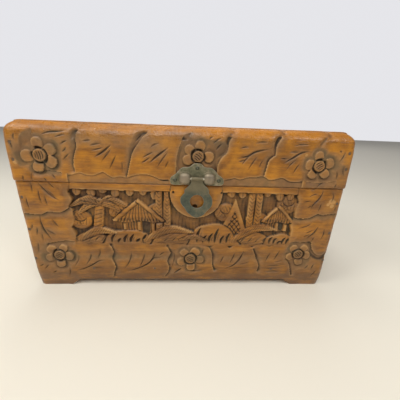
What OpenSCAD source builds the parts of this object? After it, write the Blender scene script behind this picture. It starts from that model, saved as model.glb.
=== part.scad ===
// Carved wooden keepsake box with a hinged lid and a hasp latch.
// Millimetres. The box stands on its feet at z = 0, its front faces -y and its width runs along x.

/* [Box] */
// Width of the lid across the front
lid_w = 300; // [260:1:360]
// Depth of the lid from front to back
lid_d = 170; // [140:1:240]
// Height of the closed box
total_h = 159; // [155:1:180]
// Height of the seam between the body and the lid
seam_z = 108.6; // [100:0.2:114]
// Thickness of the boards
wall = 13; // [12:0.5:16]
// Radius of the upright corners
corner_r = 7; // [3:0.5:10]
// Radius of the lid's top edge
edge_r = 10; // [6:0.5:12]
// How far the lid stands out beyond the body at the seam
rim_step = 0.75; // [0.2:0.05:1.2]
// How far each body face leans in between the seam and the floor
body_taper = 2.2; // [0.5:0.1:4]
// Gap between the closed lid and the body
seam_gap = 0.4; // [0.2:0.05:0.6]

/* [Base] */
// Height of the cutaway between the feet
foot_h = 7.4; // [4:0.2:12]
// Length of each foot along the box at the floor
foot_len = 33; // [24:1:45]
// Length of the slanted end of each foot
foot_slant = 9.5; // [2:0.5:14]
// Height below which the front and back turn under
facet_h = 17; // [10:0.5:20]
// How far the front and back turn under at the floor
facet_in = 2.5; // [0.5:0.1:4]
// Height of the underside of the bottom board
bottom_z = 16; // [12:0.5:20]
// Thickness of the bottom board
bottom_t = 9; // [7:0.5:12]

/* [Lid] */
// Thickness of the top board
top_t = 9; // [6:0.5:12]
// Width of the ledge that the top board rests on
top_ledge = 5; // [3:0.5:6]
// Clearance around the top board
top_clear = 0.15; // [0.1:0.05:0.3]

/* [Carved leaves] */
// Depth of the grooves between the leaves
groove_deep = 1.4; // [0.6:0.1:2]
// Width of the grooves between the leaves
groove_w = 1.8; // [1:0.1:2.6]
// Width of one leaf along a border
leaf_w = 42; // [34:1:48]
// How far a leaf edge leans sideways between its foot and its tip
leaf_lean = 10; // [0:0.5:14]
// Height of the plain rim under the lid's leaves
lid_rim_h = 7; // [5:0.5:10]
// Depth of the plain rim behind the leaves
lid_rim_deep = 1; // [0.4:0.1:1.4]

/* [Carved flowers] */
// Radius of each flower
flower_r = 14; // [11:0.5:15]
// Radius of a flower's centre disc
flower_disc_r = 5.6; // [4:0.2:6]
// Depth of the ground around the petals
flower_deep = 1.8; // [0.8:0.1:2.2]
// Distance of the left flowers from the lid's end
flower_left_in = 28.5; // [26:0.5:34]
// Distance of the right flowers from the lid's end
flower_right_in = 32.5; // [26:0.5:34]
// Height of the lid's flowers above the seam
lid_flower_up = 21.5; // [19:0.5:24]
// Height of the body's flowers above the floor
body_flower_z = 36; // [33:0.5:40]
// Sideways offset of the body's middle flower
middle_flower_x = 5.5; // [-10:0.5:12]

/* [Sunk scene] */
// Distance of the sunk field from each end of the lid
scene_end = 46.5; // [44:0.5:60]
// Height of the field's lower edge above the floor
scene_low_z = 49; // [46:0.5:56]
// Height of the plain rail between the field and the seam
scene_rail_h = 6.6; // [5:0.2:9]
// Depth of the field
scene_deep = 5; // [3:0.2:6]
// Depth of the low reliefs below the face
scene_low_deep = 1.6; // [0.8:0.1:2.4]
// Radius of the smooth boss behind the hasp
boss_r = 24.2; // [20:0.2:26]
// Distance of the boss's centre below the seam
boss_down = 7.8; // [5:0.2:9]
// Distance of the sunk fields on the ends from the box's corners
end_scene_in = 40; // [36:1:50]

/* [Latch] */
// Sideways offset of the latch from the middle
latch_x = 9.5; // [-20:0.5:20]
// Thickness of the latch plate
plate_t = 1; // [0.8:0.1:1.4]
// Height of the hasp's pivot above the seam
pivot_up = 6.8; // [6.4:0.1:8]
// Distance of the hasp's pivot from the plate's face
pivot_out = 2.2; // [2.1:0.1:3]
// Radius of the hasp's pin
hasp_pin_r = 1; // [0.8:0.05:1.1]
// Outer radius of the hasp's knuckle
hasp_knuckle_r = 1.9; // [1.7:0.05:2]
// Thickness of the hasp
hasp_t = 1.2; // [0.8:0.1:1.4]
// Clearance between the back of the hasp and the plate
hasp_clear = 0.4; // [0.3:0.05:0.6]
// Width of the hasp's neck
neck_w = 10.4; // [9:0.1:11]
// Clearance between the hasp's neck and each knuckle cover
neck_clear = 0.3; // [0.2:0.05:0.5]
// Width of each knuckle cover
cover_w = 10; // [8:0.2:11]
// Height of each knuckle cover
cover_h = 10.6; // [9:0.2:11.5]
// Thickness of metal in front of the pin in each cover
cover_skin = 1.3; // [1:0.1:1.8]
// Outer radius of the hasp's ring
ring_r = 14.4; // [13:0.2:16]
// Radius of the hole through the hasp's ring
ring_hole_r = 6.2; // [5:0.1:7]
// Distance of the ring's centre below the seam
ring_down = 14; // [13:0.2:16]

/* [Hinges] */
// Distance of each hinge's middle from the lid's end
hinge_in = 55; // [45:1:70]
// Length of a hinge
hinge_len = 32; // [24:1:40]
// Thickness of a hinge leaf
leaf_t = 1.2; // [0.8:0.1:1.4]
// Outer radius of the hinge knuckles
knuckle_r = 2.2; // [2:0.1:2.4]
// Radius of the hinge pins
hinge_pin_r = 1; // [0.8:0.05:1.1]
// Distance of the hinge axis in front of the lid's back face
axis_in = 3.5; // [3:0.1:4]
// Angle of the bevels along the back of the seam
bevel_angle = 50; // [46:1:54]
// Clearance around a hinge leaf in its mortise
mortise_clear = 0.15; // [0.1:0.05:0.3]
// Clearance between the knuckles and the wood
knuckle_clear = 0.4; // [0.3:0.05:0.6]
// Gap between neighbouring knuckles
knuckle_gap = 0.3; // [0.2:0.05:0.5]

/* [Fasteners] */
// Radius of the nails' shanks
nail_r = 0.75; // [0.6:0.05:1]
// Radius of the nails' heads
nail_head_r = 1.2; // [1.1:0.05:1.5]
// Thickness of the nails' heads
nail_head_t = 0.8; // [0.5:0.1:1.2]
// Length of the nails in the boards
nail_len = 30; // [20:1:36]
// Depth of the sunk nail heads below the face
nail_sink = 1.2; // [0.6:0.1:1.6]
// Radius of the latch nails' shanks
latch_nail_r = 0.8; // [0.6:0.05:0.9]
// Radius of the latch nails' round heads
latch_head_r = 1.8; // [1.5:0.05:2]
// Height of the latch nails' round heads
latch_head_h = 0.8; // [0.5:0.1:1]
// Length of the latch nails behind the plate
latch_nail_len = 8; // [5:0.5:10]
// Radius of the hinge screws' shanks
screw_r = 1; // [0.8:0.05:1.1]
// Radius of the hinge screws' heads
screw_head_r = 1.9; // [1.6:0.05:2]
// Length of the hinge screws
screw_len = 9; // [6:0.5:12]
// Radial clearance of pins in their knuckles
pin_clear = 0.05; // [0.02:0.01:0.1]
// Radial clearance of nails and screws in their holes
nail_clear = 0.05; // [0.02:0.01:0.1]

/* [Hidden] */

// Smoothness of round drawings, and of the shapes that end as facets
$fn = 48;
form_fn = 32;
edge_step = 15;
// Overshoot of every cut beyond the face that it opens
past = 4;
// Thickness of the layers that the body's form is drawn over
layer_t = 0.01;

// The box reaches further in front than behind by the latch, so its boards sit half of that back
cover_out = plate_t + pivot_out + hasp_pin_r + pin_clear + cover_skin;
mid_y = cover_out / 2;

// Half sizes of the lid and of the body at the seam and at the floor
lid_x = lid_w / 2;
lid_y = lid_d / 2;
rim_x = lid_x - rim_step;
rim_y = lid_y - rim_step;
floor_x = rim_x - body_taper;
floor_y = rim_y - body_taper;
body_lean = atan(body_taper / seam_z);

// Inner faces, shared by the lid and the body
inner_x = lid_x - wall;
inner_y = lid_y - wall;
body_top = seam_z - seam_gap / 2;
lid_low = seam_z + seam_gap / 2;
cavity_low = bottom_z + bottom_t;

// Hinge axis and leaves
axis_y = lid_y - axis_in;
hinge_x = lid_x - hinge_in;
leaf_lip = 2;
leaf_d = wall - axis_in - leaf_lip;
screw_x = hinge_len / 2 - 6;
screw_y = axis_y - leaf_d / 2 - 1;
screw_head_h = screw_head_r - screw_r;

// Hasp pivot
pivot_y = -lid_y - plate_t - pivot_out;
pivot_z = seam_z + pivot_up;
cover_x = neck_w / 2 + neck_clear + cover_w / 2;
hasp_pin_len = neck_w + 2 * neck_clear + cover_w;
pin_end_clear = 0.2;
ring_z = seam_z - ring_down;

// The sunk field, and its mounds: place along the field, radius and height
scene_x = lid_x - scene_end;
scene_top_z = seam_z - scene_rail_h;
MOUNDS = [[-0.86, 16, 9], [-0.52, 24, 13], [-0.1, 20, 17], [0.26, 22, 22], [0.62, 22, 13], [0.92, 18, 10]];

// Places of the latch nails on the plate, from the latch's middle and the seam
ear_x = cover_x + cover_w / 2 + 3.6;
ear_r = 4.6;
ear_up = 5;
crown_up = 14.6;
crown_r = 5.4;
LATCH_NAILS = [[-ear_x, ear_up], [ear_x, ear_up], [0, crown_up + 1.2]];

// Holes left by the latch's lower half, from the latch's middle and the seam: place, radius and depth
STAPLE_HOLES = [[-21, -7, 0.7, 6], [23, -6.6, 0.7, 6], [-1.2, -20.3, 1.8, 5]];

// Places of the board nails
corner_nail_x = lid_x - wall / 2;
lid_span = total_h - lid_low;
LID_NAIL_Z = [lid_low + lid_span * 0.36, lid_low + lid_span * 0.64];
body_span = body_top - facet_h;
BODY_NAIL_Z = [facet_h + body_span * 0.16, facet_h + body_span * 0.5, facet_h + body_span * 0.84];
BOTTOM_NAIL_X = [-lid_w * 0.3, -lid_w * 0.1, lid_w * 0.3];
bottom_nail_z = bottom_z + bottom_t / 2;

// How far the lid's rounded edge has drawn in where its face leans back by the angle a
function edge_in(a) = edge_r * (1 - cos(a));

// Depth of the body's front face behind the lid's, at height z
function body_in(z) = rim_step + (seam_z - z) * tan(body_lean);

// Points along a bowed line from a to b
function bowed(a, b, bow, steps = 8) = [
    for (i = [0 : steps])
        let (t = i / steps)
        [a[0] + (b[0] - a[0]) * t + bow * sin(180 * t), a[1] + (b[1] - a[1]) * t]
];

// Forms of the whole body and lid, which the boards are cut from
module rounded_rectangle(half_x, half_y, r) {
    for (x = [-1, 1], y = [-1, 1])
        translate([x * (half_x - r), y * (half_y - r)])
            circle(r, $fn = form_fn);
}

module layer(half_x, half_y, z) {
    translate([0, 0, z])
        linear_extrude(layer_t)
            rounded_rectangle(half_x, half_y, corner_r);
}

// The faces lean in evenly, and the front and back turn under below facet_h
module body_form() {
    facet_x = lid_x - body_in(facet_h);
    facet_y = lid_y - body_in(facet_h);
    hull() {
        layer(floor_x, floor_y - facet_in, 0);
        layer(facet_x, facet_y, facet_h);
        layer(rim_x, rim_y, body_top - layer_t);
    }
}

// The top edge is rounded in layers, and keeps the radius of the upright corners
module lid_form() {
    hull() {
        layer(lid_x, lid_y, lid_low);
        for (a = [0 : edge_step : 90])
            layer(lid_x - edge_in(a), lid_y - edge_in(a), total_h - edge_r * (1 - sin(a)) - layer_t);
    }
}

// Slabs of those forms
module front_slab() {
    translate([-lid_w, -lid_d, -past])
        cube([2 * lid_w, lid_d - inner_y, total_h + 2 * past]);
}

module end_slab() {
    translate([inner_x, -inner_y, -past])
        cube([lid_w, 2 * inner_y, total_h + 2 * past]);
}

// Cuts a drawing into the face that looks to -y; the drawing's y is the height above the floor
module carve(face_y, deep, lean = 0) {
    translate([0, -face_y, seam_z])
        rotate([lean, 0, 0])
            translate([0, 0, -seam_z])
                rotate([90, 0, 0])
                    translate([0, 0, -deep])
                        linear_extrude(deep + past)
                            children();
}

// Drawings of the carved ornament
module leaf_edge(foot, tip, bow) {
    left = bowed([foot[0] - groove_w / 2, foot[1]], [tip[0] - groove_w / 2, tip[1]], bow);
    right = bowed([tip[0] + groove_w / 2, tip[1]], [foot[0] + groove_w / 2, foot[1]], bow);
    polygon(concat(left, right));
}

module flower_ground() {
    petal_r = flower_r * 0.33;
    petal_rim = 0.8;
    difference() {
        circle(flower_r);
        for (i = [0 : 4])
            rotate(90 + 72 * i)
                translate([flower_r - petal_r - petal_rim, 0])
                    circle(petal_r);
        circle(flower_disc_r + 1);
    }
    difference() {
        circle(flower_disc_r + 1);
        circle(flower_disc_r);
    }
}

module flower_at(x, z) {
    translate([x, z])
        flower_ground();
}

// Feet of the leaf edges along the lid, counted out from the latch
function lid_edges(half) = [
    for (side = [-1, 1], i = [0 : 2])
        let (x = latch_x + side * (leaf_w * 0.45 + i * leaf_w))
        if (abs(x) < half - flower_r) x
];

module lid_front_drawing() {
    low = lid_low + lid_rim_h;
    for (x = lid_edges(lid_x))
        leaf_edge([x, low], [x + leaf_lean, total_h], leaf_w / 12);
}

module lid_rim_drawing(half, mid = 0) {
    scallop_r = leaf_w * 0.62;
    low = lid_low + lid_rim_h;
    difference() {
        translate([-half, lid_low - past])
            square([2 * half, past + lid_rim_h + 3]);
        for (i = [-4 : 4])
            translate([mid + i * leaf_w, low + scallop_r])
                circle(scallop_r);
    }
}

module lid_flowers_drawing() {
    flower_at(-lid_x + flower_left_in, seam_z + lid_flower_up);
    flower_at(lid_x - flower_right_in, seam_z + lid_flower_up);
    flower_at(latch_x, seam_z + lid_flower_up + 3);
}

module body_front_drawing() {
    for (side = [-1, 1]) {
        for (i = [0 : 1])
            let (x = middle_flower_x + side * (leaf_w * 0.55 + i * leaf_w))
            leaf_edge([x, facet_h], [x + side * 2, scene_low_z], side * leaf_w / 14);
        translate([side * scene_x, (scene_low_z + scene_top_z) / 2])
            rotate(side * -90)
                leaf_edge([0, 0], [-6, scene_end - corner_r], 3);
    }
}

module body_flowers_drawing() {
    flower_at(-lid_x + flower_left_in, body_flower_z);
    flower_at(lid_x - flower_right_in, body_flower_z);
    flower_at(middle_flower_x, body_flower_z - 4);
}

// The sunk scene: a field, with high and low reliefs standing in it
module scene_field() {
    translate([-scene_x, scene_low_z])
        square([2 * scene_x, scene_top_z - scene_low_z]);
}

// Reliefs that reach the face: the boss, the leaves that close in from the ends, and the mounds
module scene_high_drawing() {
    end_r = 19;
    translate([latch_x, seam_z - boss_down])
        circle(boss_r);
    for (side = [-1, 1], z = [0.25, 0.75])
        translate([side * (scene_x + end_r - 4), scene_low_z + z * (scene_top_z - scene_low_z)])
            circle(end_r);
    for (mound = MOUNDS)
        translate([mound[0] * scene_x, scene_low_z + mound[2] - mound[1]])
            circle(mound[1]);
}

// A thatched hut: a gable over a fringe and posts
module hut_drawing(span, rise) {
    post_h = rise * 0.9;
    polygon([[-span, -3], [-span + 3, 0], [0, rise], [span - 3, 0], [span, -3], [span - 8, -3], [0, rise * 0.6],
        [-span + 8, -3]]);
    translate([-span * 0.6, -1])
        square([span * 1.2, rise * 0.4]);
    for (x = [-0.5, 0, 0.5])
        translate([x * span - 1.5, -post_h])
            square([3, post_h]);
}

// A tree: a leaning trunk under a fan of fronds
module tree_drawing(height, lean) {
    frond_count = 5;
    polygon([[-3.5, 0], [3.5, 0], [lean + 2, height], [lean - 2, height]]);
    for (i = [0 : frond_count - 1])
        translate([lean, height - 2])
            rotate(-25 + i * 230 / (frond_count - 1))
                polygon([[0, -1.5], [8, -3], [15, 0], [8, 3], [0, 1.5]]);
}

// A leaning frame filled with a lattice
module lattice_drawing(span, rise) {
    bar_w = 2.4;
    pitch = span / 4;
    difference() {
        polygon([[-span, 0], [0, rise], [span, 0]]);
        intersection() {
            polygon([[-span + 5, bar_w], [0, rise - 5], [span - 5, bar_w]]);
            for (i = [-3 : 3])
                translate([i * pitch + bar_w / 2, 0])
                    square([pitch - bar_w, rise]);
        }
    }
}

// A stand of upright stems
module stems_drawing(count, height) {
    pitch = 6;
    for (i = [0 : count - 1])
        translate([(i - (count - 1) / 2) * pitch - 1.6, 0])
            square([3.2, height]);
}

module scene_low_drawing() {
    tall = scene_top_z - scene_low_z;
    translate([-scene_x * 0.44, scene_low_z + tall * 0.5])
        hut_drawing(23, 17);
    translate([scene_x * 0.86, scene_low_z + tall * 0.52])
        hut_drawing(16, 13);
    translate([-scene_x * 0.8, scene_low_z])
        tree_drawing(tall * 0.76, 6);
    translate([scene_x * 0.46, scene_low_z + 8])
        lattice_drawing(15, tall * 0.7);
    translate([scene_x * 0.66, scene_low_z])
        stems_drawing(2, tall);
    translate([-scene_x * 0.14, scene_low_z])
        stems_drawing(3, tall);
}

module scene_cuts() {
    carve(rim_y, scene_low_deep, body_lean)
        difference() {
            scene_field();
            scene_high_drawing();
        }
    carve(rim_y, scene_deep, body_lean)
        difference() {
            scene_field();
            scene_high_drawing();
            scene_low_drawing();
        }
}

// The ends of the box: leaves round a sunk field with a flower
module end_field(half) {
    translate([-half + end_scene_in, scene_low_z])
        square([2 * (half - end_scene_in), seam_z - scene_rail_h - scene_low_z]);
}

module body_end_cuts() {
    field_mid = (scene_low_z + seam_z - scene_rail_h) / 2;
    carve(rim_x, scene_deep / 2, body_lean)
        difference() {
            end_field(lid_y);
            translate([0, field_mid])
                circle(flower_r + 4);
        }
    carve(rim_x, flower_deep, body_lean)
        flower_at(0, field_mid);
    carve(rim_x, groove_deep, body_lean)
        for (x = [-1.5, -0.5, 0.5, 1.5])
            leaf_edge([x * leaf_w * 0.8, facet_h], [x * leaf_w * 0.8 + 2, scene_low_z], 2);
}

module lid_end_cuts() {
    carve(lid_x, groove_deep)
        for (x = [-1, 0, 1])
            leaf_edge([x * leaf_w, lid_low + lid_rim_h], [x * leaf_w + leaf_lean, total_h], leaf_w / 12);
    carve(lid_x, lid_rim_deep)
        lid_rim_drawing(lid_y - end_scene_in);
}

// Cutaway between two feet, drawn on the face that looks to -y
module foot_gap(half) {
    low = half - foot_len;
    polygon([[-low - past, -past], [-low, 0], [-low + foot_slant, foot_h], [low - foot_slant, foot_h],
        [low, 0], [low + past, -past]]);
}

module foot_cut(half) {
    rotate([90, 0, 0])
        translate([0, 0, -lid_w])
            linear_extrude(2 * lid_w)
                foot_gap(half);
}

// Nails: each lies along +y from its place on a face that looks to -y
module nail() {
    rotate([-90, 0, 0]) {
        cylinder(h = nail_len, r = nail_r);
        cylinder(h = nail_head_t, r = nail_head_r);
    }
}

module nail_hole() {
    rotate([-90, 0, 0]) {
        cylinder(h = nail_len + nail_clear, r = nail_r + nail_clear);
        translate([0, 0, -nail_sink - past])
            cylinder(h = nail_sink + past + nail_head_t, r = nail_head_r + nail_clear);
    }
}

module at_lid_corners() {
    for (side = [0, 180], x = [-1, 1], z = LID_NAIL_Z)
        rotate([0, 0, side])
            translate([x * corner_nail_x, -lid_y + nail_sink, z])
                children();
}

module at_body_corners() {
    for (side = [0, 180], x = [-1, 1], z = BODY_NAIL_Z)
        rotate([0, 0, side])
            translate([x * corner_nail_x, -lid_y + body_in(z) + nail_sink, z])
                children();
}

module at_bottom_nails() {
    for (side = [0, 180], x = BOTTOM_NAIL_X)
        rotate([0, 0, side])
            translate([x, -lid_y + body_in(bottom_nail_z) + nail_sink, bottom_nail_z])
                children();
}

// Hinges: two leaves let into the rims, with the knuckles in the bevelled groove at the back
module at_hinges() {
    for (side = [-1, 1])
        translate([side * hinge_x, axis_y, seam_z])
            children();
}

module along_x(length, r) {
    rotate([0, 90, 0])
        cylinder(h = length, r = r, center = true);
}

// Space for one hinge; up is 1 for the lid and -1 for the body
module hinge_mortise(up) {
    low = up > 0 ? 0 : -seam_gap / 2 - leaf_t - mortise_clear;
    translate([-hinge_len / 2 - mortise_clear, -leaf_d - mortise_clear, low])
        cube([hinge_len + 2 * mortise_clear, leaf_d + mortise_clear, seam_gap / 2 + leaf_t + mortise_clear]);
    along_x(hinge_len + 2 * mortise_clear, knuckle_r + knuckle_clear);
    for (x = [-1, 1])
        translate([x * screw_x, screw_y - axis_y, 0])
            cylinder(h = 2 * (screw_len + seam_gap), r = screw_r + nail_clear, center = true);
}

module leaf_blank(up) {
    low = up > 0 ? seam_gap / 2 : -seam_gap / 2 - leaf_t;
    translate([-hinge_len / 2, -leaf_d, low])
        cube([hinge_len, leaf_d, leaf_t]);
}

// Countersunk screw with its head at z = 0 and its point below
module screw(extra = 0) {
    translate([0, 0, -screw_len])
        cylinder(h = screw_len, r = screw_r + extra);
    translate([0, 0, -screw_head_h])
        cylinder(h = screw_head_h, r1 = screw_r + extra, r2 = screw_head_r + extra);
}

module at_screws(up) {
    for (x = [-1, 1])
        translate([x * screw_x, screw_y - axis_y, up * seam_gap / 2])
            mirror([0, 0, up > 0 ? 1 : 0])
                children();
}

module body_leaf() {
    knuckle_len = (hinge_len - 2 * knuckle_gap) / 3;
    difference() {
        union() {
            leaf_blank(-1);
            for (side = [-1, 1])
                translate([side * (hinge_len - knuckle_len) / 2, 0, 0])
                    along_x(knuckle_len, knuckle_r);
        }
        along_x(knuckle_len + 2 * knuckle_gap, knuckle_r + knuckle_gap);
        along_x(hinge_len + past, hinge_pin_r + pin_clear);
        at_screws(-1)
            screw(nail_clear);
    }
}

module lid_leaf() {
    knuckle_len = (hinge_len - 2 * knuckle_gap) / 3;
    difference() {
        union() {
            leaf_blank(1);
            along_x(knuckle_len, knuckle_r);
        }
        for (side = [-1, 1])
            translate([side * (hinge_len - knuckle_len) / 2, 0, 0])
                along_x(knuckle_len + 2 * knuckle_gap, knuckle_r + knuckle_gap);
        along_x(hinge_len + past, hinge_pin_r + pin_clear);
        at_screws(1)
            screw(nail_clear);
    }
}

// Bevel along the back of the seam; up is 1 for the lid and -1 for the body
module seam_bevel(up) {
    reach = axis_in + past;
    translate([-lid_w, axis_y, seam_z])
        rotate([90, 0, 90])
            linear_extrude(2 * lid_w)
                polygon([[0, 0], [reach, 0], [reach, up * reach * tan(bevel_angle)]]);
}

// Latch: a scalloped plate with two knuckle covers, and a ringed hasp on a pin between them
module plate_drawing() {
    base = ear_up - ear_r;
    for (x = [-1, 1]) {
        translate([x * ear_x, ear_up])
            circle(ear_r);
        translate([x * cover_x, 10])
            circle(6.4);
    }
    translate([0, crown_up])
        circle(crown_r);
    polygon([[-ear_x, base], [ear_x, base], [ear_x, ear_up + 2], [cover_x, 14], [-cover_x, 14],
        [-ear_x, ear_up + 2]]);
}

module knuckle_cover() {
    round_r = 2;
    half_w = cover_w / 2 - round_r;
    half_h = cover_h / 2 - round_r;
    depth = cover_out - plate_t;
    hull()
        for (x = [-1, 1], z = [-1, 1]) {
            translate([x * half_w, -depth + round_r, z * half_h])
                sphere(round_r, $fn = 20);
            translate([x * half_w, 0, z * half_h])
                rotate([90, 0, 0])
                    cylinder(h = depth / 2, r = round_r, $fn = 20);
        }
}

module at_latch_nails() {
    for (place = LATCH_NAILS)
        translate([latch_x + place[0], -lid_y, seam_z + place[1]])
            rotate([90, 0, 0])
                children();
}

module hasp_drawing() {
    difference() {
        union() {
            translate([0, -ring_down])
                circle(ring_r);
            translate([0, -ring_down - ring_r + 3])
                circle(4.4);
            translate([-neck_w / 2, -ring_down])
                square([neck_w, ring_down + pivot_up]);
            for (side = [-1, 1])
                polygon([[0, -2.4], [side * 10.6, -3.4], [side * 12, -8], [0, -8]]);
        }
        translate([0, -ring_down])
            circle(ring_hole_r);
        for (side = [-1, 1], notch = [[-36, 2.4], [30, 1.6]])
            translate([0, -ring_down])
                rotate(side > 0 ? notch[0] : 180 - notch[0])
                    translate([ring_r + notch[1] * 0.4, 0])
                        circle(notch[1]);
    }
}

// Boards of the body
module body_front() {
    color("sienna")
        difference() {
            intersection() {
                body_form();
                front_slab();
            }
            foot_cut(floor_x);
            carve(rim_y, groove_deep, body_lean)
                body_front_drawing();
            carve(rim_y, flower_deep, body_lean)
                body_flowers_drawing();
            scene_cuts();
            staple_holes();
            at_body_corners()
                nail_hole();
            at_bottom_nails()
                nail_hole();
        }
}

module staple_holes() {
    for (hole = STAPLE_HOLES)
        translate([latch_x + hole[0], -rim_y - past, seam_z + hole[1]])
            rotate([-90, 0, 0])
                cylinder(h = hole[3] + past, r = hole[2]);
}

module body_back() {
    color("sienna")
        difference() {
            intersection() {
                body_form();
                rotate([0, 0, 180])
                    front_slab();
            }
            foot_cut(floor_x);
            seam_bevel(-1);
            at_hinges()
                hinge_mortise(-1);
            at_body_corners()
                nail_hole();
            at_bottom_nails()
                nail_hole();
        }
}

module body_end(side) {
    difference() {
        intersection() {
            body_form();
            rotate([0, 0, side > 0 ? 0 : 180])
                end_slab();
        }
        rotate([0, 0, 90])
            foot_cut(floor_y);
        rotate([0, 0, side * 90])
            body_end_cuts();
        at_body_corners()
            nail_hole();
    }
}

module body_left() {
    color("sienna")
        body_end(-1);
}

module body_right() {
    color("sienna")
        body_end(1);
}

module bottom_board() {
    color("peru")
        difference() {
            translate([-inner_x, -inner_y, bottom_z])
                cube([2 * inner_x, 2 * inner_y, bottom_t]);
            at_bottom_nails()
                nail_hole();
        }
}

module body_corner_nails() {
    color("gray")
        at_body_corners()
            nail();
}

module bottom_nails() {
    color("gray")
        at_bottom_nails()
            nail();
}

// Boards of the lid
module top_recess(clear) {
    reach_x = inner_x + top_ledge - clear;
    reach_y = inner_y + top_ledge - clear;
    translate([-reach_x, -reach_y, total_h - top_t])
        cube([2 * reach_x, 2 * reach_y, top_t + past]);
}

module lid_front() {
    color("sienna")
        difference() {
            intersection() {
                lid_form();
                front_slab();
            }
            top_recess(0);
            carve(lid_y, groove_deep)
                lid_front_drawing();
            carve(lid_y, lid_rim_deep)
                lid_rim_drawing(scene_x, latch_x);
            carve(lid_y, flower_deep)
                lid_flowers_drawing();
            at_latch_nails()
                cylinder(h = 2 * (latch_nail_len + plate_t), r = latch_nail_r + nail_clear, center = true);
            at_lid_corners()
                nail_hole();
        }
}

module lid_back() {
    color("sienna")
        difference() {
            intersection() {
                lid_form();
                rotate([0, 0, 180])
                    front_slab();
            }
            top_recess(0);
            seam_bevel(1);
            at_hinges()
                hinge_mortise(1);
            at_lid_corners()
                nail_hole();
        }
}

module lid_end(side) {
    difference() {
        intersection() {
            lid_form();
            rotate([0, 0, side > 0 ? 0 : 180])
                end_slab();
        }
        top_recess(0);
        rotate([0, 0, side * 90])
            lid_end_cuts();
        at_lid_corners()
            nail_hole();
    }
}

module lid_left() {
    color("sienna")
        lid_end(-1);
}

module lid_right() {
    color("sienna")
        lid_end(1);
}

module lid_top() {
    color("peru")
        difference() {
            intersection() {
                lid_form();
                top_recess(top_clear);
            }
            translate([0, 0, total_h - flower_deep])
                linear_extrude(past)
                    flower_ground();
        }
}

module lid_corner_nails() {
    color("gray")
        at_lid_corners()
            nail();
}

// Hinge pieces
module at_hinge(side) {
    translate([side * hinge_x, axis_y, seam_z])
        children();
}

module hinge_body_leaf(side) {
    color("goldenrod")
        at_hinge(side)
            body_leaf();
}

module hinge_lid_leaf(side) {
    color("darkgoldenrod")
        at_hinge(side)
            lid_leaf();
}

module hinge_pin(side) {
    color("gray")
        at_hinge(side)
            along_x(hinge_len, hinge_pin_r);
}

module hinge_body_screws() {
    color("gray")
        at_hinges()
            at_screws(-1)
                screw();
}

module hinge_lid_screws() {
    color("gray")
        at_hinges()
            at_screws(1)
                screw();
}

// Latch pieces
module latch_plate() {
    color("darkseagreen")
        difference() {
            translate([latch_x, -lid_y, seam_z]) {
                rotate([90, 0, 0])
                    linear_extrude(plate_t)
                        plate_drawing();
                for (side = [-1, 1])
                    translate([side * cover_x, -plate_t, pivot_up])
                        knuckle_cover();
            }
            translate([latch_x, pivot_y, pivot_z])
                along_x(hasp_pin_len + 2 * pin_end_clear, hasp_pin_r + pin_clear);
            at_latch_nails()
                cylinder(h = 2 * plate_t + past, r = latch_nail_r + nail_clear, center = true);
        }
}

module latch_nails() {
    color("dimgray")
        at_latch_nails() {
            translate([0, 0, plate_t])
                latch_nail_head();
            translate([0, 0, -latch_nail_len])
                cylinder(h = latch_nail_len + plate_t, r = latch_nail_r);
        }
}

// Low round head, cut from a ball
module latch_nail_head() {
    ball_r = (latch_head_r * latch_head_r + latch_head_h * latch_head_h) / (2 * latch_head_h);
    intersection() {
        translate([0, 0, latch_head_h - ball_r])
            sphere(ball_r);
        cylinder(h = latch_head_h + 1, r = latch_head_r);
    }
}

module hasp() {
    sheet_back = -lid_y - plate_t - hasp_clear;
    color("slategray")
        difference() {
            union() {
                translate([latch_x, sheet_back, seam_z])
                    rotate([90, 0, 0])
                        linear_extrude(hasp_t)
                            hasp_drawing();
                translate([latch_x, pivot_y, pivot_z])
                    along_x(neck_w, hasp_knuckle_r);
            }
            translate([latch_x, pivot_y, pivot_z])
                along_x(neck_w + past, hasp_pin_r + pin_clear);
        }
}

module hasp_pin() {
    color("gray")
        translate([latch_x, pivot_y, pivot_z])
            along_x(hasp_pin_len, hasp_pin_r);
}

module placed() {
    translate([0, mid_y, 0])
        children();
}

placed() body_front();
placed() body_back();
placed() body_left();
placed() body_right();
placed() bottom_board();
placed() body_corner_nails();
placed() bottom_nails();
placed() lid_front();
placed() lid_back();
placed() lid_left();
placed() lid_right();
placed() lid_top();
placed() lid_corner_nails();
placed() hinge_body_leaf(-1);  // hinge_left_body_leaf
placed() hinge_lid_leaf(-1);  // hinge_left_lid_leaf
placed() hinge_pin(-1);  // hinge_left_pin
placed() hinge_body_leaf(1);  // hinge_right_body_leaf
placed() hinge_lid_leaf(1);  // hinge_right_lid_leaf
placed() hinge_pin(1);  // hinge_right_pin
placed() hinge_body_screws();
placed() hinge_lid_screws();
placed() latch_plate();
placed() latch_nails();
placed() hasp();
placed() hasp_pin();
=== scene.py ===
import math

import bmesh
import bpy
import numpy as np
from mathutils import Matrix, Vector


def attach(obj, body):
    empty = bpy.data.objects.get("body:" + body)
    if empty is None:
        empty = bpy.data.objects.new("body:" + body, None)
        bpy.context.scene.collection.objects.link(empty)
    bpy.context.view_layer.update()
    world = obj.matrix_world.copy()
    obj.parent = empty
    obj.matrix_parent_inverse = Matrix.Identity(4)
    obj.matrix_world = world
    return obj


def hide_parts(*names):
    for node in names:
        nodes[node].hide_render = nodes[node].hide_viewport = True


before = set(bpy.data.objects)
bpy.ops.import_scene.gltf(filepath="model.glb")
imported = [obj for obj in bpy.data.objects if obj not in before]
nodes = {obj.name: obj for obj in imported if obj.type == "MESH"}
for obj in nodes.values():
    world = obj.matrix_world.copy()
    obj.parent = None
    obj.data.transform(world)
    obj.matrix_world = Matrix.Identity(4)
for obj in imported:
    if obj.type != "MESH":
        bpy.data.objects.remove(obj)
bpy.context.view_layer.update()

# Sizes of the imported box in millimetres, as in the part's source
MM = 0.001
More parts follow.
